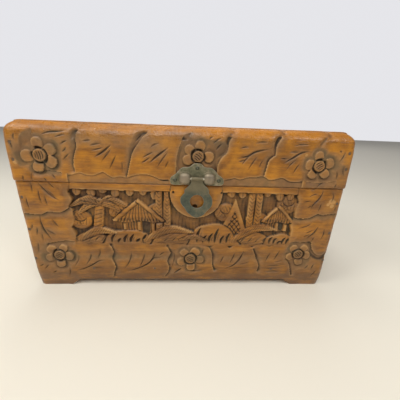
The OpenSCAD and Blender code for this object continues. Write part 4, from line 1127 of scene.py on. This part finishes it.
def carve_body_end(relief, seed):
    common_face(relief, seed, high_edge=BODY_TOP)
    x, z = relief.x, relief.z
    wave = 1.2 * np.sin(z * 0.21 + seed)
    inside = np.minimum(END_FIELD + wave - np.abs(x),
                        np.minimum(FIELD_TOP - z, z - FIELD_LOW - 1.2 * np.sin(x * 0.16)))
    ground = 2.3 + 0.3 * np.sin(x * 1.5 + 0.5 * np.sin(z * 0.5))
    sink_field(relief, inside, ground, 1.4)
    for tip_x, tip_z in ((-36, 90), (-37, 62), (36, 90), (37, 62), (-20, 55), (20, 55), (-22, 97), (22, 97)):
        frond(relief, (tip_x * 0.33, 75.5 + (tip_z - 75.5) * 0.3), (tip_x, tip_z), 8.0, 0.6)
    relief.flower(0, 75.5, FIVE_PETALS, reach=15.5, ground=2.3, turn=0.7)
    end_leaves(relief, (-50.4, -16.8, 16.8, 50.4), (-48, -15, 19, 53), 12, 48, 1, 1.5)
    for side in (-1, 1):
        relief.overlap(((side * 47, 79), (side * 58, 77.4), (side * 71.9, 79.4)), 1.2, 4.5, high=side)
        leaf_veins(relief, (side * 66, 104), (side * 50, 86), 0.22, 3)
        leaf_veins(relief, (side * 66, 74), (side * 50, 56), 0.22, 3)
    for place in (-62, -33, 0, 33, 62):
        leaf_veins(relief, (place - 9, 20), (place + 6, 42), 0.22, 3)
    relief.deep += 0.35 * np.exp(-(INNER_Y - np.abs(x)) / 0.5)


def carve_plain_lid(relief):
    common_face(relief, 31, joint=True)
    nail_dents(relief, LID_NAIL_Z)


def carve_plain_body(relief):
    common_face(relief, 32, joint=True)
    nail_dents(relief, BODY_NAIL_Z, BOTTOM_NAILS)


def carve_lid_top(relief):
    relief.deep += 0.1 + waves(relief.x, relief.z, 21, (23, 41, 83), 0.1)
    edge = np.minimum(np.abs(relief.x).max() - np.abs(relief.x), np.abs(relief.z).max() - np.abs(relief.z))
    relief.deep += 0.3 * np.exp(-edge / 0.5)
    for place, width, deep in EDGE_DIPS:
        relief.deep += deep * np.exp(-((relief.x - place) / width) ** 2) * smooth((-relief.z - 64) / 10)
    for side in (-1, 1):
        frond(relief, (side * 12, 0), (side * 46, -3), 13, 0.5)
        for z in (side, -side):
            frond(relief, (side * 8, z * 9), (side * 25, z * 26), 9, 0.5)
    relief.flower(0, 0, FIVE_PETALS, reach=15, ground=1.8, turn=0.5)


# Materials
def node(tree, kind, inputs=None, **settings):
    made = tree.nodes.new(kind)
    for key, value in settings.items():
        setattr(made, key, value)
    for key, value in (inputs or {}).items():
        if isinstance(value, bpy.types.NodeSocket):
            tree.links.new(value, made.inputs[key])
        else:
            made.inputs[key].default_value = value
    return made


def new_material(name):
    material = bpy.data.materials.new(name)
    material.use_nodes = True
    tree = material.node_tree
    return material, tree, tree.nodes["Principled BSDF"]


def math_node(tree, operation, a, b):
    return node(tree, "ShaderNodeMath", {0: a, 1: b}, operation=operation).outputs[0]


def add(tree, a, b):
    return math_node(tree, "ADD", a, b)


def times(tree, a, b):
    return math_node(tree, "MULTIPLY", a, b)


def ramp(tree, value, stops):
    made = node(tree, "ShaderNodeValToRGB", {"Fac": value})
    elements = made.color_ramp.elements
    while len(elements) < len(stops):
        elements.new(0.5)
    for element, (place, colour) in zip(elements, stops):
        element.position = place
        element.color = (*colour, 1.0)
    return made.outputs["Color"]


def mix(tree, share, a, b):
    made = node(tree, "ShaderNodeMix", {"Factor": share}, data_type="RGBA")
    for socket, value in ((made.inputs[6], a), (made.inputs[7], b)):
        if isinstance(value, bpy.types.NodeSocket):
            tree.links.new(value, socket)
        else:
            socket.default_value = (*value, 1.0)
    return made.outputs[2]


def noise(tree, place, scale, stretch=(1, 1, 1), detail=4.0, rough=0.55, distortion=0.0):
    mapped = node(tree, "ShaderNodeMapping", {"Vector": place, "Scale": stretch}).outputs["Vector"]
    return node(tree, "ShaderNodeTexNoise", {"Vector": mapped, "Scale": scale, "Detail": detail,
                                             "Roughness": rough, "Distortion": distortion}).outputs["Fac"]


def limits(tree, value, low, high, to_low=0.0, to_high=1.0):
    return node(tree, "ShaderNodeMapRange", {0: value, 1: low, 2: high, 3: to_low, 4: to_high}).outputs[0]


def tinted(tree, colour, layers):
    """Lays tints over a colour, each growing from low to high of its value up to its strength."""
    for value, low, high, strength, tint in layers:
        colour = mix(tree, limits(tree, value, low, high, 0.0, strength), colour, tint)
    return colour


def surface(tree, shader, colour, rough, rise, strength, distance):
    """Links colour, roughness and bump to the shader."""
    tree.links.new(colour, shader.inputs["Base Color"])
    tree.links.new(rough, shader.inputs["Roughness"])
    bump = node(tree, "ShaderNodeBump", {"Strength": strength, "Distance": distance, "Height": rise})
    tree.links.new(bump.outputs["Normal"], shader.inputs["Normal"])


def varnished(name, grain):
    """Honey-orange varnished wood; grain is the axis it runs along."""
    material, tree, shader = new_material(name)
    place = node(tree, "ShaderNodeTexCoord").outputs["Object"]
    dirt, wear, haze, glow = (node(tree, "ShaderNodeAttribute", attribute_name=label).outputs["Fac"]
                              for label in ("dirt", "wear", "haze", "glow"))
    along = {"x": (1, 12, 12), "y": (12, 1, 12)}[grain]
    figure = noise(tree, place, 38.0, along, 6.0, 0.7, 0.4)
    pores = noise(tree, place, 70.0, tuple(1.8 * v if v > 1 else 1 for v in along), 3.0, 0.6)
    patches = noise(tree, place, 30.0, (1, 1, 1.4), 5.0, 0.62)
    blotch = noise(tree, place, 130.0, tuple(0.5 + 0.08 * v if v > 1 else 0.35 for v in along), 4.0, 0.7)
    clouds = noise(tree, place, 75.0, (1, 1, 1), 4.0, 0.6)
    mottle = noise(tree, place, 260.0, (1, 1, 1), 3.0, 0.6)
    height = node(tree, "ShaderNodeSeparateXYZ", {0: place}).outputs["Z"]

    tone = add(tree, times(tree, figure, 0.4), times(tree, patches, 0.6))
    wood = ramp(tree, tone, ((0.36, (0.135, 0.052, 0.009)), (0.45, (0.235, 0.089, 0.009)),
                             (0.54, (0.35, 0.133, 0.008)), (0.66, (0.53, 0.205, 0.008))))
    wood = tinted(tree, wood, ((pores, 0.50, 0.68, 0.5, (0.12, 0.045, 0.010)),))
    # Broad smooth places and rubbed patches turn bright gold: clean varnish, and painted light where patches
    # stand for light.
    clean_and_lit_share = times(tree, glow, limits(tree, clouds, 0.40, 0.60))
    wood = mix(tree, times(tree, clean_and_lit_share, 0.5), wood, (0.54, 0.220, 0.009))
    # Painted shade towards the floor and, stronger, on the lower facet and feet, a painted highlight on the
    # rounded top edge, then stains, fading, and wear with painted highlights
    retinted = tinted(tree, wood, (
        (height, 0.105, 0.025, 0.5, (0.145, 0.066, 0.020)),
        (height, 0.019, 0.014, 0.60, (0.110, 0.060, 0.030)),
        (height, 0.150, 0.156, 0.5, (0.58, 0.215, 0.016)),
        (blotch, 0.50, 0.70, 0.45, (0.14, 0.052, 0.011)),
        (blotch, 0.50, 0.36, 0.3, (0.56, 0.235, 0.020)),
        (wear, 0.02, 0.6, 0.6, (0.66, 0.38, 0.125)),
    ))

    # Dull film with painted shade in channels and a painted sheen high on the lid, and dirt with painted
    # shade in the cuts and hollows
    film_and_shading_amount = times(tree, haze, limits(tree, clouds, 0.30, 0.62, 1.15, 0.6))
    dust_and_sheen = mix(tree, limits(tree, mottle, 0.35, 0.65), (0.20, 0.110, 0.042), (0.31, 0.172, 0.070))
    dull = mix(tree, limits(tree, patches, 0.40, 0.60), (0.190, 0.094, 0.038), (0.150, 0.100, 0.045))
    soiled_and_shaded = times(tree, dirt, limits(tree, mottle, 0.3, 0.7, 0.8, 1.2))
    grime = mix(tree, limits(tree, patches, 0.4, 0.6), (0.040, 0.019, 0.008), (0.040, 0.031, 0.015))
    colour = tinted(tree, retinted, ((film_and_shading_amount, 0.05, 0.55, 0.72, dust_and_sheen), (film_and_shading_amount, 0.50, 0.95, 0.88, dull),
                                 (soiled_and_shaded, 0.06, 0.62, 0.96, grime)))

    polished = limits(tree, height, 0.141, 0.149)
    cover = times(tree, haze, math_node(tree, "SUBTRACT", 1.0, polished))
    cover = math_node(tree, "MAXIMUM", cover, times(tree, dirt, 1.6))
    rough = add(tree, limits(tree, cover, 0.05, 0.8, 0.38, 0.78), limits(tree, mottle, 0.3, 0.7, -0.09, 0.09))
    rough = math_node(tree, "SUBTRACT", rough, times(tree, polished, 0.07))
    grain_noise = noise(tree, place, 620.0, (1, 1, 1), 2.0, 0.6)
    speckle = times(tree, grain_noise, add(tree, times(tree, polished, 2.6), 0.15))
    rise = add(tree, add(tree, times(tree, pores, 0.6), times(tree, mottle, 0.6)), speckle)
    surface(tree, shader, colour, rough, rise, 0.45, 0.0005)
    shader.inputs["Specular IOR Level"].default_value = 0.42
    shader.inputs["Coat Weight"].default_value = 0.16
    shader.inputs["Coat Roughness"].default_value = 0.2
    return material


def raw_wood(name, grain):
    """Unvarnished wood inside the box."""
    material, tree, shader = new_material(name)
    place = node(tree, "ShaderNodeTexCoord").outputs["Object"]
    along = {"x": (1, 22, 22), "y": (22, 1, 22)}[grain]
    figure = noise(tree, place, 10.0, along, 5.0, 0.62, 0.4)
    patches = noise(tree, place, 22.0, (1, 1, 1), 3.0)
    wood = ramp(tree, figure, ((0.32, (0.27, 0.135, 0.058)), (0.5, (0.42, 0.235, 0.108)),
                               (0.7, (0.54, 0.33, 0.165))))
    colour = mix(tree, limits(tree, patches, 0.4, 0.7, 0.0, 0.4), wood, (0.30, 0.17, 0.085))
    rough = limits(tree, figure, 0.3, 0.7, 0.72, 0.58)
    surface(tree, shader, colour, rough, figure, 0.3, 0.0004)
    return material


def aged_metal(name, stops, metallic, rough, bright=(0.5, 0.46, 0.36), retinted=None):
    """Metal with a tarnish that clouds and thins at its edges, where a painted highlight also lies, and wears
    off along an axis.
    """
    material, tree, shader = new_material(name)
    place = node(tree, "ShaderNodeTexCoord").outputs["Object"]
    clouds = noise(tree, place, 170.0, (1, 1, 1), 5.0, 0.62)
    specks = noise(tree, place, 900.0, (1, 1, 1), 3.0, 0.6)
    tone = add(tree, times(tree, clouds, 0.75), times(tree, specks, 0.25))
    colour = ramp(tree, tone, stops)
    edge = node(tree, "ShaderNodeNewGeometry").outputs["Pointiness"]
    if retinted:
        axis, low, high, tint = retinted
        spot = node(tree, "ShaderNodeSeparateXYZ", {0: place}).outputs[axis]
        colour = tinted(tree, colour, ((spot, low, high, 0.7, tint),))
    # Sharp edges turn lighter: thinner tarnish, and a painted highlight.
    colour = tinted(tree, colour, ((edge, 0.51, 0.58, 0.65, bright),))
    roughness = limits(tree, tone, 0.3, 0.7, rough + 0.12, rough - 0.08)
    surface(tree, shader, colour, roughness, tone, 0.25, 0.0002)
    shader.inputs["Metallic"].default_value = metallic
    return material


wood_x, wood_y = varnished("varnished_x", "x"), varnished("varnished_y", "y")
raw_x, raw_y = raw_wood("raw_x", "x"), raw_wood("raw_y", "y")
olive = ((0.34, (0.080, 0.082, 0.048)), (0.5, (0.165, 0.155, 0.090)), (0.66, (0.31, 0.250, 0.165)))
slate = ((0.34, (0.050, 0.062, 0.047)), (0.5, (0.088, 0.098, 0.070)), (0.66, (0.165, 0.145, 0.090)))
plate_metal = aged_metal("tarnished_plate", olive, 0.5, 0.42, (0.55, 0.50, 0.38),
                         retinted=("Y", -0.0846, -0.0872, (0.30, 0.235, 0.170)))
hasp_metal = aged_metal("tarnished_hasp", slate, 0.5, 0.44, (0.48, 0.47, 0.39),
                        retinted=("Z", 0.1000, 0.1060, (0.185, 0.150, 0.085)))
dark = ((0.3, (0.03, 0.033, 0.022)), (0.7, (0.10, 0.10, 0.065)))
rusty = ((0.3, (0.040, 0.022, 0.012)), (0.7, (0.10, 0.060, 0.034)))
yellow = ((0.3, (0.24, 0.17, 0.07)), (0.7, (0.50, 0.37, 0.15)))
pale = ((0.3, (0.22, 0.215, 0.165)), (0.7, (0.46, 0.44, 0.34)))
nail_metal = aged_metal("dark_nails", dark, 0.6, 0.45, (0.2, 0.19, 0.13))
steel = aged_metal("nail_steel", rusty, 0.1, 0.6, (0.15, 0.11, 0.08))
brass = aged_metal("hinge_brass", yellow, 0.85, 0.36, (0.7, 0.55, 0.28))
bar_metal = aged_metal("worn_pin", pale, 0.7, 0.34)


# Boards
CARVED = "carved_wood"
ALONG_X, ALONG_Y = (wood_x, raw_x), (wood_y, raw_y)
BODY_FRONT_CELL, LID_FRONT_CELL, END_CELL, TOP_CELL, BACK_CELL = 0.6, 0.52, 0.75, 1.0, 1.6
body_long_board("carved_body_front", "front", BODY_FRONT_CELL, carve_body_front).make(
    ALONG_X, "body", "body_front", CARVED)
lid_long_board("carved_lid_front", "front", LID_FRONT_CELL, carve_lid_front).make(
    ALONG_X, "lid", "lid_front", CARVED)
body_back = body_long_board("plain_body_back", "back", BACK_CELL, carve_plain_body).make(
    ALONG_X, "body", "body_back", CARVED)
lid_back = lid_long_board("plain_lid_back", "back", BACK_CELL, carve_plain_lid).make(
    ALONG_X, "lid", "lid_back", CARVED)
for side, seed in (("left", 41), ("right", 43)):
    body_end_board(f"carved_body_{side}", side, END_CELL, lambda r: carve_body_end(r, seed)).make(
        ALONG_Y, "body", f"body_{side}", CARVED)
    lid_end_board(f"carved_lid_{side}", side, END_CELL, lambda r: carve_lid_end(r, seed)).make(
        ALONG_Y, "lid", f"lid_{side}", CARVED)
lid_top_board("carved_lid_top", TOP_CELL, carve_lid_top).make(ALONG_X, "lid", "lid_top", CARVED)


def settled(piece):
    """Applies the modifiers of a piece."""
    depsgraph = bpy.context.evaluated_depsgraph_get()
    mesh = bpy.data.meshes.new_from_object(piece.evaluated_get(depsgraph))
    piece.modifiers.clear()
    piece.data = mesh
    return piece


def loose_object(name, work):
    mesh = bpy.data.meshes.new(name)
    bmesh.ops.recalc_face_normals(work, faces=work.faces)
    work.to_mesh(mesh)
    work.free()
    made = bpy.data.objects.new(name, mesh)
    bpy.context.scene.collection.objects.link(made)
    return made


def prism(work, outline, start, end):
    """Adds an outline in x and z, drawn out along y from start to end, in millimetres."""
    front = [work.verts.new((x * MM, start * MM, z * MM)) for x, z in outline]
    back = [work.verts.new((x * MM, end * MM, z * MM)) for x, z in outline]
    work.faces.new(front)
    work.faces.new(back[::-1])
    for i in range(len(outline)):
        j = (i + 1) % len(outline)
        work.faces.new((front[i], back[i], back[j], front[j]))


def rod(work, length, radius, centre, axis="x", segments=40):
    turn = Matrix.Rotation(math.pi / 2, 4, "Y") if axis == "x" else Matrix.Rotation(math.pi / 2, 4, "X")
    place = Matrix.Translation(Vector(centre) * MM) @ turn
    bmesh.ops.create_cone(work, cap_ends=True, segments=segments, radius1=radius * MM, radius2=radius * MM,
                          depth=length * MM, matrix=place)


def block(work, low, high):
    corners = [Vector((x, y, z)) * MM for x in (low[0], high[0]) for y in (low[1], high[1])
               for z in (low[2], high[2])]
    verts = [work.verts.new(c) for c in corners]
    for face in ((0, 1, 3, 2), (4, 6, 7, 5), (0, 4, 5, 1), (2, 3, 7, 6), (0, 2, 6, 4), (1, 5, 7, 3)):
        work.faces.new([verts[i] for i in face])


def cut(piece, cutter):
    change = piece.modifiers.new("cut", "BOOLEAN")
    change.operation, change.solver, change.object = "DIFFERENCE", "EXACT", cutter
    settled(piece)
    bpy.data.objects.remove(cutter)


# The back of the seam is bevelled both ways from the hinge axis, and let in for the hinges
AXIS_Y, BEVEL, BEVEL_LEN, BEVEL_HALF = 81.5 + MID_Y, math.radians(51.5), 8.0, 160.0
HINGE_X, HINGE_LEN, LEAF_D, LEAF_T = 95.0, 32.0, 7.5, 1.2
KNUCKLE_HOLE_R, LET_IN = 2.6, 0.15
# How far the cutters reach past the seam, so that no face of theirs lies in the board's
PAST_SEAM = 0.5


def bevel_cutter(up):
    """A wedge that opens backwards from the hinge axis, upwards for up 1 and downwards for -1."""
    work = bmesh.new()
    near, far = SEAM_Z - up * PAST_SEAM, SEAM_Z + up * BEVEL_LEN * math.tan(BEVEL)
    outline = ((AXIS_Y, near), (AXIS_Y + BEVEL_LEN, near), (AXIS_Y + BEVEL_LEN, far), (AXIS_Y, SEAM_Z))
    verts = [work.verts.new(Vector((x, y, z)) * MM) for x in (-BEVEL_HALF, BEVEL_HALF) for y, z in outline]
    for face in ((0, 1, 2, 3), (7, 6, 5, 4), (0, 4, 5, 1), (1, 5, 6, 2), (2, 6, 7, 3), (3, 7, 4, 0)):
        work.faces.new([verts[i] for i in face])
    return loose_object("wedge", work)


def mortise_cutter(up, place):
    """The room for one hinge leaf."""
    work = bmesh.new()
    half = HINGE_LEN / 2 + LET_IN
    face = (LID_LOW if up > 0 else BODY_TOP) + up * (LEAF_T + LET_IN)
    low, high = sorted((SEAM_Z - up * PAST_SEAM, face))
    block(work, (place - half, AXIS_Y - LEAF_D - LET_IN, low), (place + half, AXIS_Y, high))
    return loose_object("mortise", work)


def knuckle_cutter(place):
    """The room for the hinge's knuckles, a little longer than the mortise."""
    work = bmesh.new()
    rod(work, HINGE_LEN + 4 * LET_IN, KNUCKLE_HOLE_R, (place, AXIS_Y, SEAM_Z))
    return loose_object("knuckle_hole", work)


for board, up in ((body_back, -1), (lid_back, 1)):
    cut(board, bevel_cutter(up))
    for place in (-HINGE_X, HINGE_X):
        cut(board, mortise_cutter(up, place))
        cut(board, knuckle_cutter(place))

# Latch
FACE_Y = -HALF_Y + MID_Y
PLATE_T = 1.0
PLATE_HALF = (
    (0, 128.5), (2.7, 128.2), (4.6, 127.0), (6.2, 125.6), (8.6, 125.0), (11.4, 125.0), (14.0, 123.9),
    (16.5, 121.4), (18.9, 118.7), (21.3, 117.2), (23.0, 115.4), (23.7, 112.8), (22.9, 110.3),
    (20.6, 109.2), (17.5, 109.1), (14, 109.2), (7, 109.3), (0, 109.3),
)
HASP_LINE = (
    (4.4, 116), (4.3, 112.2), (2.6, 109.2), (-0.3, 106.2), (-1.5, 104.2), (-1.3, 102.2), (-3.4, 99.9),
    (-4.8, 97.0), (-4.6, 93.4), (-2.8, 90.4), (-0.8, 87.9), (1.3, 84.4), (4.4, 81.6), (7.2, 79.7),
    (10.4, 79.1), (13.8, 80.2), (16.9, 82.5), (19.2, 85.4), (21.2, 87.6), (23.4, 90.6), (23.9, 94.0),
    (23.4, 97.4), (22.2, 100.2), (20.4, 102.4), (20.5, 104.6), (19.2, 107.2), (16.4, 109.6),
    (14.8, 112.4), (14.7, 116),
)
COVER_X, COVER_HALF, COVER_POWER = 10.6, (5.6, 4.5, 5.6), 2.4
PIVOT_Y, PIVOT_Z, KNUCKLE_R = -HALF_Y - PLATE_T - 2.2 + MID_Y, 115.4, 1.9
SHEET_BACK = -HALF_Y - PLATE_T - 0.4 + MID_Y
HASP_T = 1.2
KNUCKLE_LEN = 10.4
RING_AT, RING_HOLE_R = (10.0, SHEET_BACK, 94.5), 6.2
# Size of the skin's cells and rounds of softening
VOXEL, SOFT_ROUNDS = 0.24, 3


def fused(piece, voxel, rounds):
    """Fuses overlapping shells into one skin with soft edges."""
    skin = piece.modifiers.new("fuse", "REMESH")
    skin.mode, skin.voxel_size, skin.use_smooth_shade = "VOXEL", voxel * MM, True
    soft = piece.modifiers.new("soft", "SMOOTH")
    soft.factor, soft.iterations = 0.5, rounds
    return settled(piece)


right_half = [(LATCH_X + x, z) for x, z in PLATE_HALF]
left_half = [(LATCH_X - x, z) for x, z in PLATE_HALF[1:-1]][::-1]
work = bmesh.new()
prism(work, curve(right_half + left_half + right_half[:1], 4)[:-1], FACE_Y, FACE_Y - PLATE_T)
for side in (-1, 1):
    ball = bmesh.ops.create_uvsphere(work, u_segments=48, v_segments=32, radius=1.0)["verts"]
    for vert in ball:
        d = vert.co.copy()
        size = sum(abs(v) ** COVER_POWER for v in d) ** (1 / COVER_POWER)
        d = d / size
        centre = (LATCH_X + side * COVER_X, FACE_Y - PLATE_T, PIVOT_Z)
        vert.co = Vector([(c + h * v) * MM for c, h, v in zip(centre, COVER_HALF, d)])
        vert.co.y = min(vert.co.y, (FACE_Y - 0.3) * MM)
plate = fused(loose_object("tarnished_latch_plate", work), VOXEL, SOFT_ROUNDS)
plate.data.materials.append(plate_metal)
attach(plate, "lid")
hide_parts("latch_plate")

work = bmesh.new()
prism(work, curve(HASP_LINE, 4), SHEET_BACK, SHEET_BACK - HASP_T)
rod(work, KNUCKLE_LEN, KNUCKLE_R, (LATCH_X, PIVOT_Y, PIVOT_Z))
hasp = loose_object("tarnished_hasp", work)
work = bmesh.new()
rod(work, 10 * HASP_T, RING_HOLE_R, RING_AT, axis="y", segments=56)
cut(hasp, loose_object("ring_hole", work))
hasp = fused(hasp, VOXEL, SOFT_ROUNDS)
hasp.data.materials.append(hasp_metal)
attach(hasp, "hasp")
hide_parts("hasp")


# CAD nodes that stay
def dress(name, material):
    """Gives a CAD node its material."""
    piece = nodes[name]
    for slot in piece.material_slots:
        slot.material = material


for name in ("body_corner_nails", "bottom_nails", "lid_corner_nails"):
    dress(name, steel)
for name in ("hinge_left_body_leaf", "hinge_left_lid_leaf", "hinge_right_body_leaf", "hinge_right_lid_leaf"):
    dress(name, brass)
for name in ("hinge_left_pin", "hinge_right_pin", "hinge_body_screws", "hinge_lid_screws"):
    dress(name, steel)
dress("latch_nails", nail_metal)
dress("hasp_pin", bar_metal)
dress("bottom_board", raw_x)

# Floor, light, camera
FLOOR_SIZE, FLOOR_COLOUR = 12.0, (0.87, 0.83, 0.72, 1.0)
SKY_COLOUR, SKY_LIGHT, SKY_SEEN = (0.96, 0.96, 1.0, 1.0), 0.27, 0.82
bpy.ops.mesh.primitive_plane_add(size=FLOOR_SIZE)
floor = bpy.context.object
floor.name = "floor"
floor_material, tree, shader = new_material("pale_floor")
shader.inputs["Base Color"].default_value = FLOOR_COLOUR
shader.inputs["Roughness"].default_value = 0.85
floor.data.materials.append(floor_material)

world = bpy.data.worlds.new("studio")
bpy.context.scene.world = world
world.use_nodes = True
background = world.node_tree.nodes["Background"]
background.inputs["Color"].default_value = SKY_COLOUR
seen = node(world.node_tree, "ShaderNodeLightPath").outputs["Is Camera Ray"]
strength = limits(world.node_tree, seen, 0, 1, SKY_LIGHT, SKY_SEEN)
world.node_tree.links.new(strength, background.inputs["Strength"])


def softbox(name, place, aim, size, power, colour=(1.0, 0.97, 0.92)):
    lamp = bpy.data.lights.new(name, "AREA")
    lamp.shape, lamp.size, lamp.size_y = "RECTANGLE", size[0], size[1]
    lamp.energy, lamp.color = power, colour
    ob = bpy.data.objects.new(name, lamp)
    ob.location = place
    ob.rotation_euler = (Vector(aim) - Vector(place)).to_track_quat("-Z", "Y").to_euler()
    bpy.context.scene.collection.objects.link(ob)


softbox("left", (-0.85, -0.42, 0.95), (0, 0, 0.08), (0.45, 0.45), 4.6)
softbox("window", (-0.16, -0.66, 0.86), (-0.03, -0.08, 0.15), (0.24, 0.62), 4.2)
softbox("right", (0.60, -0.75, 0.80), (0.02, 0, 0.09), (0.22, 0.20), 2.2)
softbox("above", (-0.20, 0.15, 1.10), (-0.04, 0, 0.12), (0.40, 0.40), 1.8)
softbox("far", (0.20, 2.30, 2.30), (0.1, 1.8, 0), (2.6, 2.6), 20.0, (1.0, 0.98, 0.96))

# The camera, from the photograph's lines: position in millimetres, angles in degrees
CAMERA_AT = (1.3, FACE_Y - 192.9, 157.4)
YAW, PITCH, ROLL = (math.radians(v) for v in (3.43, 17.79, 2.29))
FOCAL_PIXELS, PICTURE, SENSOR = 224.1, 400.0, 36.0
ahead = Vector((math.sin(YAW), math.cos(YAW), 0))
right = Vector((math.cos(YAW), -math.sin(YAW), 0))
up = Vector((0, 0, 1))
look = ahead * math.cos(PITCH) - up * math.sin(PITCH)
up = up * math.cos(PITCH) + ahead * math.sin(PITCH)
right, up = right * math.cos(ROLL) + up * math.sin(ROLL), up * math.cos(ROLL) - right * math.sin(ROLL)
lens = bpy.data.cameras.new("photograph")
lens.sensor_width = SENSOR
lens.lens = SENSOR * FOCAL_PIXELS / PICTURE
lens.clip_start = 0.01
camera = bpy.data.objects.new("photograph", lens)
camera.matrix_world = (
    Matrix.Translation(Vector(CAMERA_AT) * MM) @ Matrix((right, up, -look)).transposed().to_4x4()
)
bpy.context.scene.collection.objects.link(camera)
bpy.context.scene.camera = camera
bpy.context.scene.view_settings.view_transform = "Standard"
